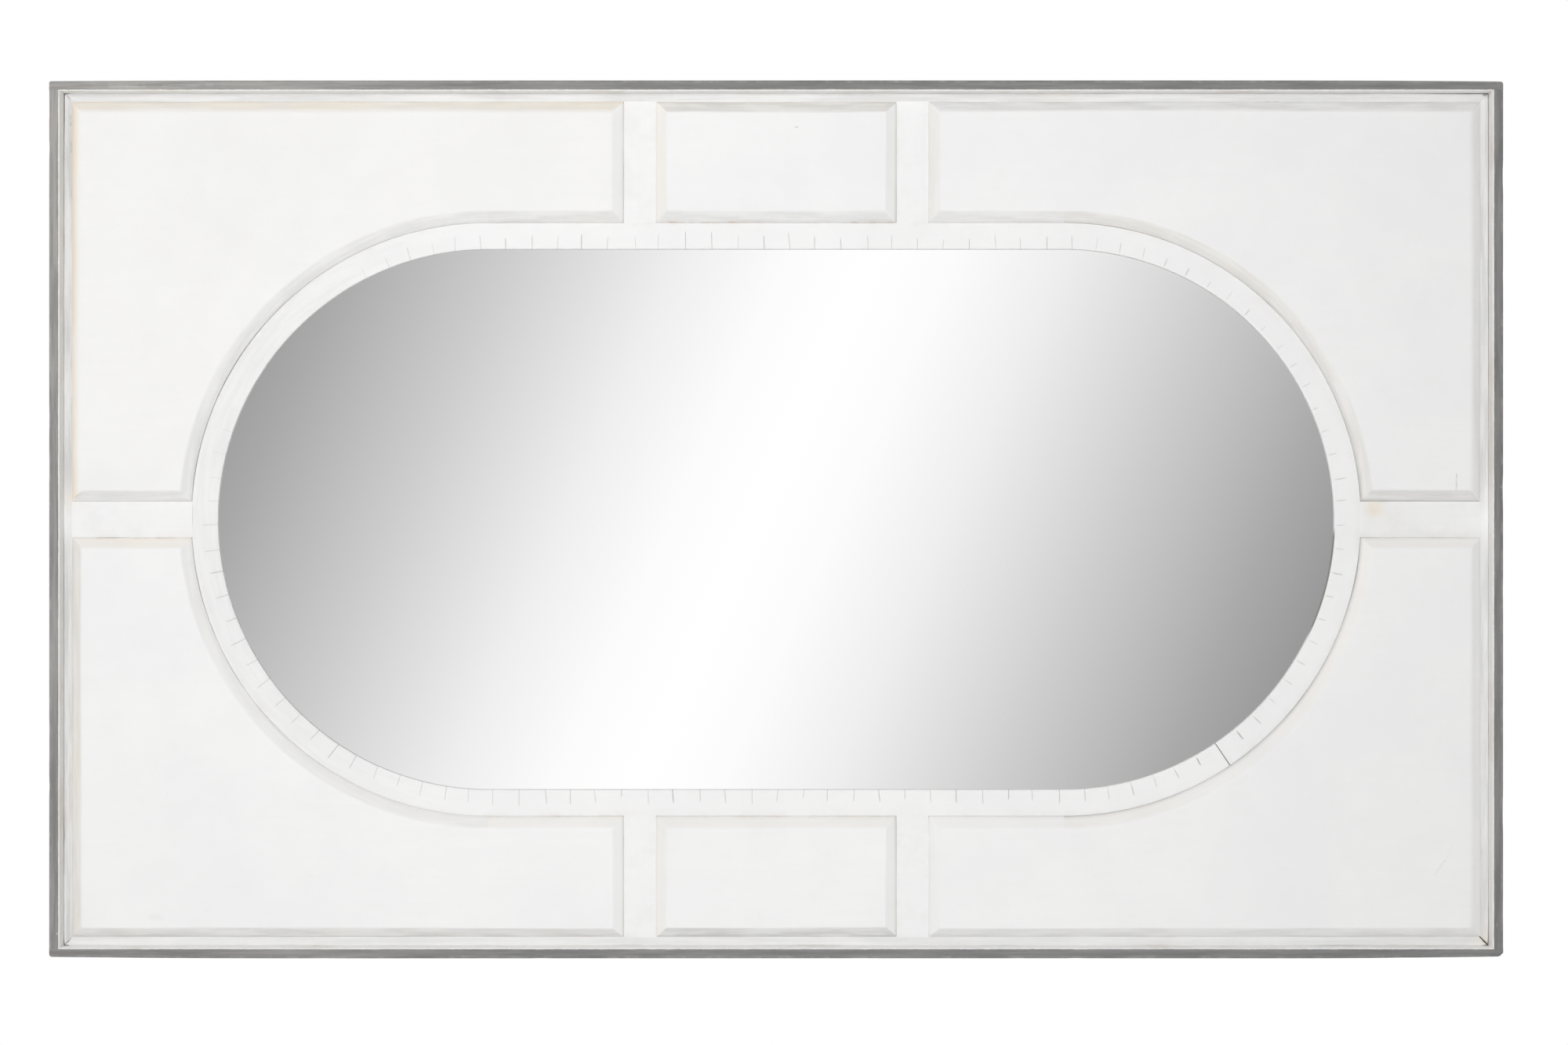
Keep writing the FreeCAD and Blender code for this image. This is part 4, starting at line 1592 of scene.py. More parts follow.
@dataclass
class BevelledPanel(Assembly):
    """A panel whose outline is walked once for each step of its bevel.

    The bevel rises along a straight slope and rounds over into the field by a parabola; the outline is
    drawn in by the step's inset plus a slow wobble, so that every edge is a little uneven.
    """
    node: str
    side: int
    level: int
    seed: int
    work: dict[Rim, RimWork]
    field_yellow: float = 0.0
    lip_radius: float = 0.0006
    lip_end: float = 0.0018
    lip_marks: tuple[float, ...] = (0.7, 1.0, 1.0, 1.0, 0.7)
    wall_mark: float = 0.3
    foot_mark: float = 0.25
    foot_reach: float = 0.003
    edge_rise: float = 0.0015
    slope_rows: int = 5
    round_rows: int = 9
    step: float = 0.005
    fewest: int = 12
    wobble: float = 0.00018
    sway: float = 0.05
    field_margin: float = 0.006
    corner_step: float = 0.0012
    corner_passes: int = 2
    # The glaze mark, much of it painted shade, is strongest at the lip.
    glaze_at_lip: float = 1.25
    glaze_at_field: float = 0.75
    crease: float = 0.5

    @abstractmethod
    def rims(self) -> dict[Rim, float]:
        """Length of each side of the panel, in the order of its walk."""

    @abstractmethod
    def sides(self, inset: Sequence[Array], t: Sequence[Array]) -> list[tuple]:
        """The outline drawn in by an inset, in the right upper quarter.

        Args:
            inset: Each side's inset by row and column.
            t: Each side's share of its way by column.

        Returns:
            X and Z of each side's points.
        """

    def shares(self, length: float, count: int) -> Array:
        """Places along a side, from 0 to just under 1, evenly spread but for three close ones at each end.

        Args:
            length: The side's length.
            count: How many places.

        Returns:
            The places.
        """
        near = self.corner_step / length
        inner = np.linspace(3.0 * near, 1.0 - 3.0 * near, count - 5)
        return np.concatenate([[0.0, near, 2.0 * near], inner, [1.0 - 2.0 * near, 1.0 - near]])

    def profile(self, bevel: Array, soften: Array) -> tuple[Array, ...]:
        """Section of the panel's rim, from its back to its field, at each column.

        The slope is the bevel's rise over its width, and each point past the round-over's start loses the
        square of its way past it, times the slope, over four times half the round-over.

        Args:
            bevel: Width of the bevel by column.
            soften: Half the width of its round-over by column.

        Returns:
            Inset, depth, mark of the bevel and mark of the lip, by step and column.
        """
        low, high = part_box(self.node)
        lip = self.layout.face - self.edge_rise
        slope = (lip - low.y) / bevel
        lip_marks = np.array(self.lip_marks)[:, None]
        drawn, sunk = self.lip_radius * quarter_round(len(lip_marks))[..., None]
        lip_inset = drawn * np.ones_like(bevel)
        lip_depth = lip + sunk - slope * lip_inset
        start, stop = np.maximum(bevel - soften, self.lip_end + self.lip_radius), bevel + soften
        run = np.concatenate([np.linspace(np.full_like(bevel, self.lip_end), start, self.slope_rows),
                              np.linspace(start, stop, self.round_rows)[1:]])
        climb = slope * run - slope * np.clip(run - (bevel - soften), 0.0, None) ** 2 / (4.0 * soften)
        none = np.zeros((1, len(bevel)))
        inset = np.concatenate([none, none, lip_inset, run, none + stop + self.field_margin])
        walls = np.array([[high.y], [0.5 * (high.y + lip)]]) + none
        depth = np.concatenate([walls, lip_depth, lip - climb, none + low.y])
        share = np.clip(run / bevel, 0.0, 1.0)
        fade = 1.0 - smooth_step((run - start) / (stop - start))
        fade = fade * (self.glaze_at_lip + (self.glaze_at_field - self.glaze_at_lip) * share)
        rising = np.linspace(0.0, self.glaze_at_lip, len(lip_marks))[:, None]
        on_bevel = np.concatenate([none, none, rising + none, fade, none])
        foot = self.foot_mark * (run < self.foot_reach)
        on_edge = np.concatenate([none, none + self.wall_mark, lip_marks + none, foot, none])
        return inset, depth, on_bevel, on_edge

    def build(self) -> None:
        """Makes the panel."""
        rims = self.rims()
        lengths = np.array(list(rims.values()))
        counts = [max(round(length / self.step), self.fewest) for length in lengths]
        total = lengths.sum()
        t = [self.shares(length, count) for length, count in zip(lengths, counts)]
        run = np.concatenate([start + length * way
                              for start, length, way in zip(lengths.cumsum() - lengths, lengths, t)])
        rows = [astuple(self.work.get(rim, RimWork())) for rim in rims]
        yellow, glaze, rub, bevel, soften, gap, line = np.repeat(np.array(rows).T, counts, axis=1)
        inset, depth, on_bevel, on_edge = self.profile(bevel, soften)
        stretch = 1.0 + self.sway * wander(run, total, self.seed + 5, 7)
        drawn = inset * stretch + gap + self.wobble * wander(run, total, self.seed, 10)
        sides = self.sides(np.split(drawn, np.cumsum(counts)[:-1], axis=1), t)
        flat = np.concatenate([np.stack(np.broadcast_arrays(x, z), -1) for x, z in sides], 1)
        for _ in range(self.corner_passes):
            flat = 0.5 * flat + 0.25 * (np.roll(flat, 1, axis=1) + np.roll(flat, -1, axis=1))
        aged = yellow * np.clip(on_bevel + 0.5 * on_edge, 0.0, 1.0)
        aged = aged + self.field_yellow * np.clip(1.0 - on_bevel, 0.0, 1.0)
        uneven = 1.0 + 0.5 * wander(run, total, self.seed + 3, 12)
        # The kerf mark here is a painted shade line along the lip, its wall and its foot.
        shell = Shell().grid(
            flat[..., 0] * self.side, depth, flat[..., 1] * self.level, capped=True,
            glaze=np.clip(glaze * on_bevel, 0.0, 1.0), edge=rub * on_edge, patina=aged,
            kerf=line * on_edge * uneven, run=run, reach=inset)
        shell.build(self.node.replace("panel_", "board_"), self.finishes.panel, "whitewashed_panels",
                    self.node, crease=self.crease)


@dataclass
class CornerPanel(BevelledPanel):
    """A corner panel, with one side that follows the ring and opens from it along the arc."""
    arc_gap: float = 0.00028
    gap_wander: float = 0.0002
    arc_least: float = 0.12
    arc_ease: tuple[float, float] = (1.5, 0.2)
    arc_ends: tuple[float, float] = (0.06, 0.04)

    def bounds(self) -> tuple[float, float, float, float]:
        """The panel's box, moved to the right upper quarter and widened up to its neighbours.

        Returns:
            Left, right, low and top.
        """
        low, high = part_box(self.node)
        left, right = sorted((abs(low.x), abs(high.x)))
        foot, top = sorted((abs(low.z), abs(high.z)))
        slack = left - max(abs(corner.x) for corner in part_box("stub_top_right"))
        return left - slack, right + slack, foot - slack, top + slack

    def rims(self) -> dict[Rim, float]:
        """Works out the length of the six sides.

        Returns:
            The lengths, in the order of the walk.
        """
        left, right, low, top = self.bounds()
        radius, half = self.layout.ring_outer, self.layout.half_straight
        foot = half + math.sqrt(radius ** 2 - low ** 2)
        return {Rim.RING: half - left, Rim.ARC: QUARTER * radius, Rim.RAIL: right - foot,
                Rim.OUTER: top - low, Rim.AWAY: right - left, Rim.INNER: top - radius}

    def sides(self, inset: Sequence[Array], t: Sequence[Array]) -> list[tuple]:
        """Walks along the ring's straight, round its arc, and back by the low, outer, top and inner sides.

        Args:
            inset: Each side's inset by row and column.
            t: Each side's share of its way by column.

        Returns:
            X and Z of each side's points.
        """
        left, right, low, top = self.bounds()
        half, radius = self.layout.half_straight, self.layout.ring_outer
        ring, arc, rail, outer, away, inner = inset
        opening = smooth_step(self.arc_ease[0] * t[1] - self.arc_ease[1])
        opening = self.arc_least + (1.0 - self.arc_least) * opening
        opening = opening * smooth_step(t[1] / self.arc_ends[0])
        opening = opening * smooth_step((1.0 - t[1]) / self.arc_ends[1])
        slack = (self.arc_gap + self.gap_wander * wander(t[1], 1.0, self.seed + 9)) * opening
        bent = radius + slack + arc
        angle = QUARTER + (np.arcsin((low + arc) / bent) - QUARTER) * t[1]
        foot = half + np.sqrt((radius + rail) ** 2 - (low + rail) ** 2)
        return [(left + ring + (half - left - ring) * t[0], radius + ring),
                (half + bent * np.cos(angle), bent * np.sin(angle)),
                (foot + (right - rail - foot) * t[2], low + rail),
                (right - outer, low + outer + (top - low - 2.0 * outer) * t[3]),
                (right - away - (right - left - 2.0 * away) * t[4], top - away),
                (left + inner, top - inner - (top - radius - 2.0 * inner) * t[5])]


@dataclass
class CentrePanel(BevelledPanel):
    """A panel over or under the ring's straights."""

    def bounds(self) -> tuple[float, float, float]:
        """The panel's box, moved to the upper half and widened up to its neighbours.

        Returns:
            Half width, low and top.
        """
        low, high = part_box(self.node)
        foot, top = sorted((abs(low.z), abs(high.z)))
        slack = foot - self.layout.ring_outer
        return high.x + slack, foot - slack, top + slack

    def rims(self) -> dict[Rim, float]:
        """Length of the four sides."""
        half, low, top = self.bounds()
        return {Rim.RING: 2.0 * half, Rim.RIGHT: top - low, Rim.AWAY: 2.0 * half, Rim.LEFT: top - low}

    def sides(self, inset: Sequence[Array], t: Sequence[Array]) -> list[tuple]:
        """Walks round the rectangle from its corner at the ring.

        Args:
            inset: Each side's inset by row and column.
            t: Each side's share of its way by column.

        Returns:
            X and Z of each side's points.
        """
        half, low, top = self.bounds()
        ring, right, away, left = inset
        return [((half - ring) * (2.0 * t[0] - 1.0), low + ring),
                (half - right, low + right + (top - low - 2.0 * right) * t[1]),
                ((half - away) * (1.0 - 2.0 * t[2]), top - away),
                (left - half, top - left - (top - low - 2.0 * left) * t[3])]


@dataclass
class PanelSet(Assembly):
    """The six bevelled panels, each worked and aged in its own way; sides that aren't listed are plain."""
    upper_left_yellow: float = 0.05
    first_seed: int = 70
    centre_seed: int = 80
    # Darkness of a plainly seen painted shade line at a lip.
    clear = 0.34
    painted = -0.0003
    tight = -0.0002
    # Most of the glaze here is painted shade, set rim by rim.
    corner_work = {
        (Side.LEFT, Level.TOP): {
            Rim.OUTER: RimWork(0.85, 0.08, 0.10, 0.0075, 0.0052, painted),
            Rim.AWAY: RimWork(0.50, 0.46, 0.25, 0.0105, 0.0034, painted), Rim.RAIL: RimWork(0.05, 0.49),
            Rim.RING: RimWork(0.08, 0.48, gap=tight), Rim.ARC: RimWork(0.03, 0.38, gap=0.0),
            Rim.INNER: RimWork(0.04, 0.05, line=clear)},
        (Side.RIGHT, Level.TOP): {
            Rim.OUTER: RimWork(0.05, 0.24, 0.08, 0.0103, 0.0040),
            Rim.AWAY: RimWork(0.05, 0.55, 0.1, 0.0108, 0.0020, tight),
            Rim.RAIL: RimWork(0.08, 0.61, 0.10, line=clear), Rim.RING: RimWork(0.05, 0.41),
            Rim.ARC: RimWork(0.16, 0.45, gap=0.0, line=clear), Rim.INNER: RimWork(0.18, 0.25, gap=tight)},
        (Side.LEFT, Level.BOTTOM): {
            Rim.OUTER: RimWork(0.38, 0.46, 0.2, 0.0115, 0.0022, tight),
            Rim.AWAY: RimWork(0.07, 0.60, 0.2, 0.0104, 0.0012, 0.0001), Rim.RAIL: RimWork(0.40, 0.08, 0.65),
            Rim.RING: RimWork(0.18, 0.08, 0.3), Rim.ARC: RimWork(0.07, 0.24, gap=0.0),
            Rim.INNER: RimWork(line=clear)},
        (Side.RIGHT, Level.BOTTOM): {
            Rim.OUTER: RimWork(0.03, 0.10, 0.08, 0.0110, 0.0030, tight),
            Rim.AWAY: RimWork(0.03, 0.46, 0.15, 0.0104, 0.0012, 0.0001), Rim.RAIL: RimWork(0.16, 0.0, 0.3),
            Rim.RING: RimWork(0.08, 0.03), Rim.ARC: RimWork(0.15, 0.10, gap=0.0001, line=clear),
            Rim.INNER: RimWork(0.04, 0.10)}}
    centre_work = {
        Level.TOP: {
            Rim.LEFT: RimWork(0.28, 0.08, gap=tight), Rim.AWAY: RimWork(0.20, 0.68, 0.15),
            Rim.RING: RimWork(0.04, 0.42, 0.8), Rim.RIGHT: RimWork(soften=0.001, line=clear)},
        Level.BOTTOM: {
            Rim.LEFT: RimWork(0.22, 0.08, gap=tight),
            Rim.AWAY: RimWork(0.02, 0.74, 0.1, 0.0108, 0.0010, 0.0001),
            Rim.RING: RimWork(0.18, 0.08, 0.4), Rim.RIGHT: RimWork(soften=0.001, line=clear)}}

    def build(self) -> None:
        """Makes each panel with its own wobble and work."""
        seed = self.first_seed
        for level in Level:
            panel = CentrePanel(self.layout, self.finishes, "centre_panel_" + level.word, 1, level.value,
                                self.centre_seed + level.value, self.centre_work[level])
            panel.build()
            for side in Side:
                yellow = self.upper_left_yellow if (side, level) == (Side.LEFT, Level.TOP) else 0.0
                panel = CornerPanel(
                    self.layout, self.finishes, f"corner_panel_{level.word}_{side.word}", side.value,
                    level.value, seed, self.corner_work[side, level], yellow)
                panel.build()
                seed += 1


@dataclass
class Hangers(Assembly):
    """Strap hangers, their D rings and screws, and the staples of the back board.

    The shank's profile is given by shares of its radius and heights over the tip, and the head's by shares
    of its radius and heights over its seat.
    """
    steel_slot: str = "hanger_steel"
    zinc_slot: str = "zinc_fasteners"
    strap_half: float = 0.008
    strap_thick: float = 0.0012
    strap_arris: float = 0.0003
    strap_end_radius: float = 0.005
    strap_end_points: int = 9
    strap_points: int = 12
    roll_turn: float = math.radians(288.0)
    roll_points: int = 40
    stock: float = 0.0024
    stock_arris: float = 0.00055
    ring_half: float = 0.0126
    ring_bend: float = 0.004
    ring_leg: float = 0.003
    bar_points: int = 6
    bend_points: int = 12
    crown_points: int = 36
    head_radius: float = 0.0036
    head_height: float = 0.0022
    shank_radius: float = 0.002
    shank_profile: tuple = ((0.2, 0.0), (0.6, 0.0014), (1.0, 0.003), (1.0, 0.012))
    head_profile: tuple = ((0.97, 0.0), (1.0, 0.00015), (1.0, 0.0009))
    turn_points: int = 64
    crown_steps: int = 26
    crown_tip: float = 0.02
    crown_foot: float = 0.001
    crown_share: float = 0.985
    crown_power: float = 2.4
    crown_rub: float = 0.3
    slot_half: float = 0.00042
    slot_reach: float = 0.0019
    slot_depth: float = 0.0012
    slot_eases: tuple[float, float] = (0.0002, 0.0003)
    staple_wire: float = 0.001
    staple_arris: float = 0.00022
    staple_half: float = 0.0055
    staple_bend: float = 0.0009
    staple_bend_points: int = 5
    staple_inset: float = 0.006
    staple_shares: tuple[float, ...] = (-1.0, -0.5, 0.0, 0.5, 1.0)
    staple_skew: float = 0.05
    screw_seed: int = 91
    staple_seed: int = 93

    def build(self) -> None:
        """Makes the straps, rings, screws and staples."""
        for side in Side:
            self.build_strap(side)
            self.build_ring(side)
        self.build_screws()
        self.build_staples()

    def eye(self, side: Side) -> Triple:
        """Middle of a strap's eye, which is its ring's joint."""
        joint = next(j for j in frame["joints"] if j["child"] == side.word + "_ring")
        return tuple(joint["pos_m"])

    def build_strap(self, side: Side) -> None:
        """Carries a flat section up the back board and round the ring's bar.

        The middle line is straight up to the eye, then a circle about it; a point lies at its place across
        and at its place in the thickness, measured towards the eye's middle. The lower end is narrowed by
        the rounding of its corners.

        Args:
            side: Which hanger.
        """
        x, eye_y, eye_z = self.eye(side)
        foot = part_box("hanger_strap_" + side.word)[0].z
        corner = self.strap_end_radius
        roll = eye_y - self.layout.back - 0.5 * self.strap_thick
        end = foot + corner * quarter_round(self.strap_end_points)[0]
        rise = np.concatenate([end, np.linspace(foot + corner, eye_z, self.strap_points)[1:]])
        turn = math.pi - np.linspace(0.0, self.roll_turn, self.roll_points)[1:]
        inward_y = np.concatenate([np.ones(len(rise)), -np.cos(turn)])[:, None]
        inward_z = np.concatenate([np.zeros(len(rise)), -np.sin(turn)])[:, None]
        y = eye_y - roll * inward_y
        z = np.concatenate([rise, eye_z + roll * np.sin(turn)])[:, None]
        short = np.clip(foot + corner - z, 0.0, corner) * (inward_z == 0.0)
        narrowed = 1.0 - (corner - np.sqrt(corner ** 2 - short ** 2)) / self.strap_half
        reach = np.array([self.strap_half, 0.5 * self.strap_thick])
        section, arris = rounded_section(-reach, reach, (self.strap_arris,) * 4)
        across, through = section.T
        shell = Shell().grid(
            x + across * narrowed, y + through * inward_y, z + through * inward_z, capped=True, edge=arris)
        shell.build(side.word + "_strap", self.finishes.hanger, self.steel_slot, "hanger_strap_" + side.word)

    def build_ring(self, side: Side) -> None:
        """Carries a rounded square section along a D and leans it on the back board.

        The D's middle line is a bar, a quarter bend, a leg, a half circle, a leg and a quarter bend; each
        point's normal is the line's own, and the whole turns about the eye by its lean.

        Args:
            side: Which hanger.
        """
        x, eye_y, eye_z = self.eye(side)
        node = "hanger_ring_" + side.word
        straight = self.ring_half - self.ring_bend
        shoulder = self.ring_bend + self.ring_leg
        bar = np.linspace(-straight, straight, self.bar_points + 2)[1:-1]
        quarter = np.linspace(-QUARTER, 0.0, self.bend_points)
        arcs = ((bar, self.ring_bend, self.ring_bend, np.full(self.bar_points, -QUARTER)),
                (straight, self.ring_bend, self.ring_bend, quarter),
                (0.0, shoulder, self.ring_half, np.linspace(0.0, math.pi, self.crown_points)),
                (-straight, self.ring_bend, self.ring_bend, quarter + 1.5 * math.pi))
        normal = np.concatenate([np.stack([np.cos(a), np.sin(a)], -1) for *_, a in arcs])
        line = np.concatenate([np.stack([u + r * np.cos(a), v + r * np.sin(a)], -1) for u, v, r, a in arcs])
        reach = np.full(2, 0.5 * self.stock)
        section, arris = rounded_section(-reach, reach, (self.stock_arris,) * 4, flats=1)
        flat = line[:, None] + normal[:, None] * section[None, :, :1]
        thick = section[:, 1]
        far = shoulder + self.ring_half + 0.5 * self.stock
        lean = math.asin((eye_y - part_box(node)[0].y - 0.5 * self.stock) / far)
        shell = Shell().grid(
            x + flat[..., 0], eye_y + thick * math.cos(lean) - flat[..., 1] * math.sin(lean),
            eye_z + flat[..., 1] * math.cos(lean) + thick * math.sin(lean), looped=True, edge=arris)
        shell.build(side.word + "_hanging_ring", self.finishes.hanger, self.steel_slot, node,
                    side.word + "_ring")

    def build_screws(self) -> None:
        """Turns a pan-head screw's profile about its axis and presses a cross into the head.

        The profile runs from the point up the shank, out under the head and over its crown; the cross is
        two bands, each eased at its sides and ends, and sinks the crown where either is.
        """
        low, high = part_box("hanger_screws")
        shank, head = np.array(self.shank_profile), np.array(self.head_profile)
        crown = np.linspace(1.0, self.crown_tip, self.crown_steps)
        dome = self.crown_foot + (self.head_height - self.crown_foot) * (1.0 - crown ** self.crown_power)
        radius = np.concatenate([self.shank_radius * shank[:, 0], self.head_radius * head[:, 0],
                                 self.head_radius * crown * self.crown_share])[:, None]
        height = np.concatenate([shank[:, 1] - shank[-1, 1], head[:, 1], dome])[:, None]
        on_crown = np.arange(len(radius))[:, None] >= len(shank) + len(head)
        turn = np.linspace(0.0, 2.0 * math.pi, self.turn_points, endpoint=False)
        own = np.abs(np.stack([radius * np.cos(turn), radius * np.sin(turn)]))
        bands = (smooth_step((self.slot_half - own) / self.slot_eases[0] + 0.5)
                 * smooth_step((self.slot_reach - own[::-1]) / self.slot_eases[1] + 0.5))
        y = high.y - self.head_height + height - self.slot_depth * bands.max(0) * on_crown
        shell = Shell()
        rng = np.random.default_rng(self.screw_seed)
        for side in Side:
            x = self.eye(side)[0]
            for z in (low.z + self.head_radius, high.z - self.head_radius):
                angle = turn + rng.uniform(0.0, math.pi)
                shell.grid(x + radius * np.cos(angle), y, z + radius * np.sin(angle), capped=True,
                           edge=on_crown * self.crown_rub)
        shell.build("strap_screws", self.finishes.zinc, self.zinc_slot, "hanger_screws")

    def build_staples(self) -> None:
        """Bends square wire into staples and drives them round the back board.

        The wire's middle line goes up one leg, round a small bend, along the crown and down again.
        """
        low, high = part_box("back_board_staples")
        reach = np.full(2, 0.5 * self.staple_wire)
        crown_y, row_z, side_x = high.y - reach[0], high.z - reach[0], high.x - self.staple_inset
        half, bend = self.staple_half, self.staple_bend
        inward, below = bend * quarter_round(self.staple_bend_points)
        leg = np.concatenate([[-half, -half], -half + inward])
        climb = np.concatenate([[low.y, crown_y - 2.0 * bend], crown_y - below])
        tilt = np.concatenate([np.zeros(2), np.linspace(0.0, QUARTER, self.staple_bend_points)])
        along = np.concatenate([leg, [0.0], -leg[::-1]])[:, None]
        depth = np.concatenate([climb, [crown_y], climb[::-1]])[:, None]
        lean = np.concatenate([tilt, [QUARTER], math.pi - tilt[::-1]])[:, None]
        section, arris = rounded_section(-reach, reach, (self.staple_arris,) * 4, steps=2, flats=1)
        out, wide = section.T
        span = along - np.cos(lean) * out
        rise = depth + np.sin(lean) * out
        shell = Shell()
        rng = np.random.default_rng(self.staple_seed)
        rows = [(share * side_x, sign * row_z, 0.0) for sign in (-1, 1) for share in self.staple_shares]
        rows += [(sign * side_x, 0.0, QUARTER) for sign in (-1, 1)]
        for x, z, turn in rows:
            turn = turn + rng.normal(0.0, self.staple_skew)
            shell.grid(x + span * math.cos(turn) - wide * math.sin(turn), rise,
                       z + span * math.sin(turn) + wide * math.cos(turn), capped=True, edge=arris)
        shell.build("back_staples", self.finishes.zinc, self.zinc_slot, "back_board_staples")


def dress_kept_nodes(finishes: Finishes) -> None:
    """Lays finishes on the nodes whose own shape is right.

    Args:
        finishes: The materials.
    """
    kept = {"mirror_glass": finishes.glass, "carrier_board": finishes.plywood, "glass_pad": finishes.card,
            "back_board": finishes.hardboard, "panel_brads": finishes.zinc, "edge_brads": finishes.zinc,
            "corner_brads": finishes.zinc}
    for name, material in kept.items():
        mesh = frame["nodes"][name].data
        mesh.materials.clear()
        mesh.materials.append(material)
        LOG.info("dressed %s in %s", name, material.name)


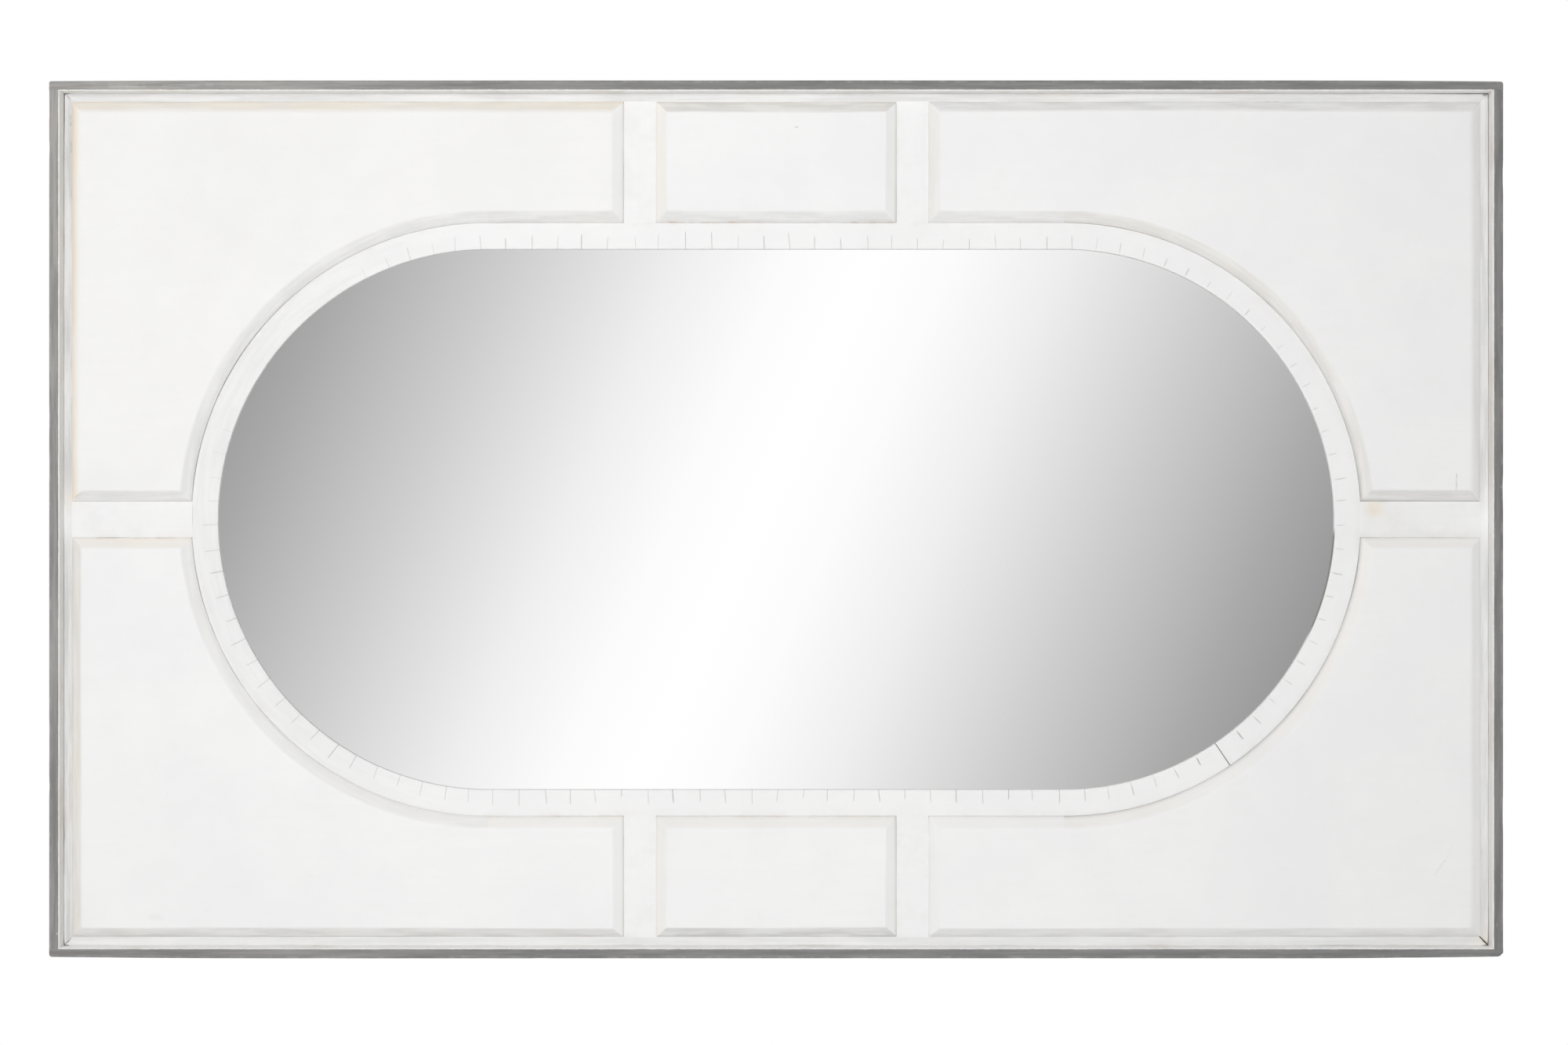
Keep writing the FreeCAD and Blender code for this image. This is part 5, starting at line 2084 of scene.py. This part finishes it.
@dataclass
class Studio:
    """Floor, soft lamps, the card that the glass reflects, white surroundings and the camera.

    Lamps are given by name, place, diameter and power, and the card's stops by place and brightness.
    """
    sensor: float = 36.0
    front_width: float = 1.66
    stand_off: float = 1.85
    camera_x: float = 0.0083
    camera_z: float = -0.0033
    floor_drop: float = 1.5
    floor_reach: float = 12.0
    floor_clear: float = 0.9
    floor_white: float = 3.0
    floor_colours: tuple[Colour, Colour] = ((0.80, 0.80, 0.79, 1.0), (0.84, 0.84, 0.83, 1.0))
    floor_clouds: float = 1.5
    floor_roughness: float = 0.8
    card_depth: float = -3.0
    card_half: float = 4.2
    card_foot: float = -1.45
    card_top: float = 2.6
    card_glow: float = 1.075
    card_stops: tuple = ((0.0, 1.0), (0.14, 0.965), (0.32, 0.855), (0.60, 0.61), (0.87, 0.397), (1.0, 0.32))
    band_x: float = -0.0234
    band_slope: float = 0.4375
    band_reach: float = 0.64
    ambient: float = 0.24
    lamps: tuple = (("front_softbox", (-0.25, -3.2, 0.55), 1.6, 69.0),
                    ("upper_left_softbox", (-2.2, -1.8, 1.4), 1.2, 9.0),
                    ("left_softbox", (-3.0, 1.0, 0.3), 1.4, 26.0),
                    ("right_softbox", (3.0, 1.0, 0.3), 1.4, 26.0),
                    ("rear_softbox", (0.4, 3.0, 1.6), 1.8, 34.0))

    def build(self, layout: Layout) -> None:
        """Sets the stage.

        Args:
            layout: Where the mirror's front is.
        """
        camera_y = layout.front - self.stand_off
        self.build_floor()
        self.build_world()
        self.build_card(camera_y)
        for lamp in self.lamps:
            self.lamp(*lamp)
        self.build_camera(camera_y)

    @staticmethod
    def sheet(name: str, corners: Sequence[Triple], material: Material) -> bpy.types.Object:
        """A flat stage sheet.

        Args:
            name: Its name.
            corners: Its four corners in order.
            material: Its material.

        Returns:
            The object.
        """
        mesh = bpy.data.meshes.new(name)
        mesh.from_pydata(corners, [], [[0, 1, 2, 3]])
        mesh.materials.append(material)
        made = placed(name, mesh)
        return made

    @staticmethod
    def seen(graph: Graph) -> Socket:
        """1 for what the camera sees, also in a mirror or through glass, and 0 for light.

        Args:
            graph: The graph of the material or world that asks.

        Returns:
            The mask.
        """
        path = graph.node("ShaderNodeLightPath").outputs
        direct = graph.math("MAXIMUM", path["Is Camera Ray"], path["Is Glossy Ray"])
        return graph.math("MAXIMUM", direct, path["Is Transmission Ray"])

    def build_floor(self) -> None:
        """A plain pale floor, as far below as under a hung mirror, that fades to white far away."""
        coat = Coat("pale_floor")
        clouds = coat.noise(coat.place(), self.floor_clouds)
        pale = coat.mix(clouds, *self.floor_colours)
        coat.feed(coat.shader, {"Base Color": pale, "Roughness": self.floor_roughness})
        away = coat.vector("LENGTH", coat.place(shift=(0.0, 0.0, self.floor_drop)), output="Value")
        white = coat.product(coat.span(away, self.floor_clear, self.floor_white), self.seen(coat))
        glow = coat.node("ShaderNodeEmission").outputs[0]
        coat.end(coat.node("ShaderNodeMixShader", white, coat.shader.outputs[0], glow).outputs[0])
        z, reach = -self.floor_drop, self.floor_reach
        corners = ((-reach, -reach, z), (reach, -reach, z), (reach, reach, z), (-reach, reach, z))
        self.sheet("floor", corners, coat.material)

    def build_card(self, camera_y: float) -> None:
        """A card behind the camera that only the glass sees: a slanting white band that fades to grey.

        Its brightness falls with the distance from the band's middle line, measured across.

        Args:
            camera_y: Depth of the camera.
        """
        y, half = self.card_depth, self.card_half
        scale = (camera_y + y) / camera_y
        middle = self.camera_x + (self.band_x - self.camera_x) * scale
        coat = Coat("card_gradient")
        place = coat.place(shift=(-middle, 0.0, -self.camera_z))
        slanted = coat.node("ShaderNodeMath", coat.axis(place, 2), -self.band_slope, coat.axis(place, 0),
                            operation="MULTIPLY_ADD").outputs[0]
        away = coat.math("ABSOLUTE", slanted, clamped=False)
        ramp = coat.node("ShaderNodeValToRGB", coat.math("DIVIDE", away, self.band_reach * scale, False))
        while len(ramp.color_ramp.elements) < len(self.card_stops):
            ramp.color_ramp.elements.new(0.5)
        for element, (position, value) in zip(ramp.color_ramp.elements, self.card_stops):
            element.position = position
            element.color = (value, value, value, 1.0)
        coat.tree.nodes.remove(coat.shader)
        coat.end(coat.node("ShaderNodeEmission", ramp.outputs[0], self.card_glow).outputs[0])
        corners = ((-half, y, self.card_foot), (half, y, self.card_foot), (half, y, self.card_top),
                   (-half, y, self.card_top))
        card = self.sheet("reflected_card", corners, coat.material)
        for ray in ("camera", "diffuse", "transmission", "volume_scatter", "shadow"):
            setattr(card, "visible_" + ray, False)

    def build_world(self) -> None:
        """White to the eye and in reflections, and a softer white as light."""
        world = bpy.data.worlds.new("white_surroundings")
        bpy.context.scene.world = world
        world.use_nodes = True
        graph = Graph(world.node_tree)
        level = graph.node("ShaderNodeMapRange", self.seen(graph), 0.0, 1.0, self.ambient, 1.0).outputs[0]
        graph.feed(graph.found("BACKGROUND"), {"Color": (1.0, 1.0, 1.0, 1.0), "Strength": level})

    @staticmethod
    def lamp(name: str, place: Triple, size: float, power: float) -> None:
        """A soft round lamp that looks at the mirror's middle and doesn't show in it.

        Args:
            name: Its name.
            place: Where it stands.
            size: Its diameter.
            power: Its power in watts.
        """
        light = bpy.data.lights.new(name, "AREA")
        light.shape = "DISK"
        light.size = size
        light.energy = power
        made = placed(name, light)
        made.location = place
        aim = -made.location
        made.rotation_euler = aim.to_track_quat("-Z", "Y").to_euler()
        made.visible_glossy = False
        made.visible_camera = False

    def build_camera(self, camera_y: float) -> None:
        """A straight-on camera that frames the mirror as the photograph does.

        Args:
            camera_y: Depth of the camera.
        """
        lens = bpy.data.cameras.new("straight_on")
        lens.sensor_fit = "HORIZONTAL"
        lens.sensor_width = self.sensor
        lens.lens = self.sensor * self.stand_off / self.front_width
        camera = placed("straight_on", lens)
        camera.location = (self.camera_x, camera_y, self.camera_z)
        camera.rotation_euler = (QUARTER, 0.0, 0.0)
        bpy.context.scene.camera = camera


def main() -> None:
    """Builds the mirror's sub-assemblies in order and sets the stage."""
    logging.basicConfig(level=logging.INFO, format="%(name)s: %(message)s")
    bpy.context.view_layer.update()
    bpy.context.scene.view_settings.view_transform = "Standard"
    layout = Layout.from_frame()
    finishes = Finishes()
    for assembly in (Tray, FaceFrame, KerfedRing, PanelSet, Hangers):
        assembly(layout, finishes).build()
    dress_kept_nodes(finishes)
    Studio().build(layout)


if __name__ == "__main__":
    main()
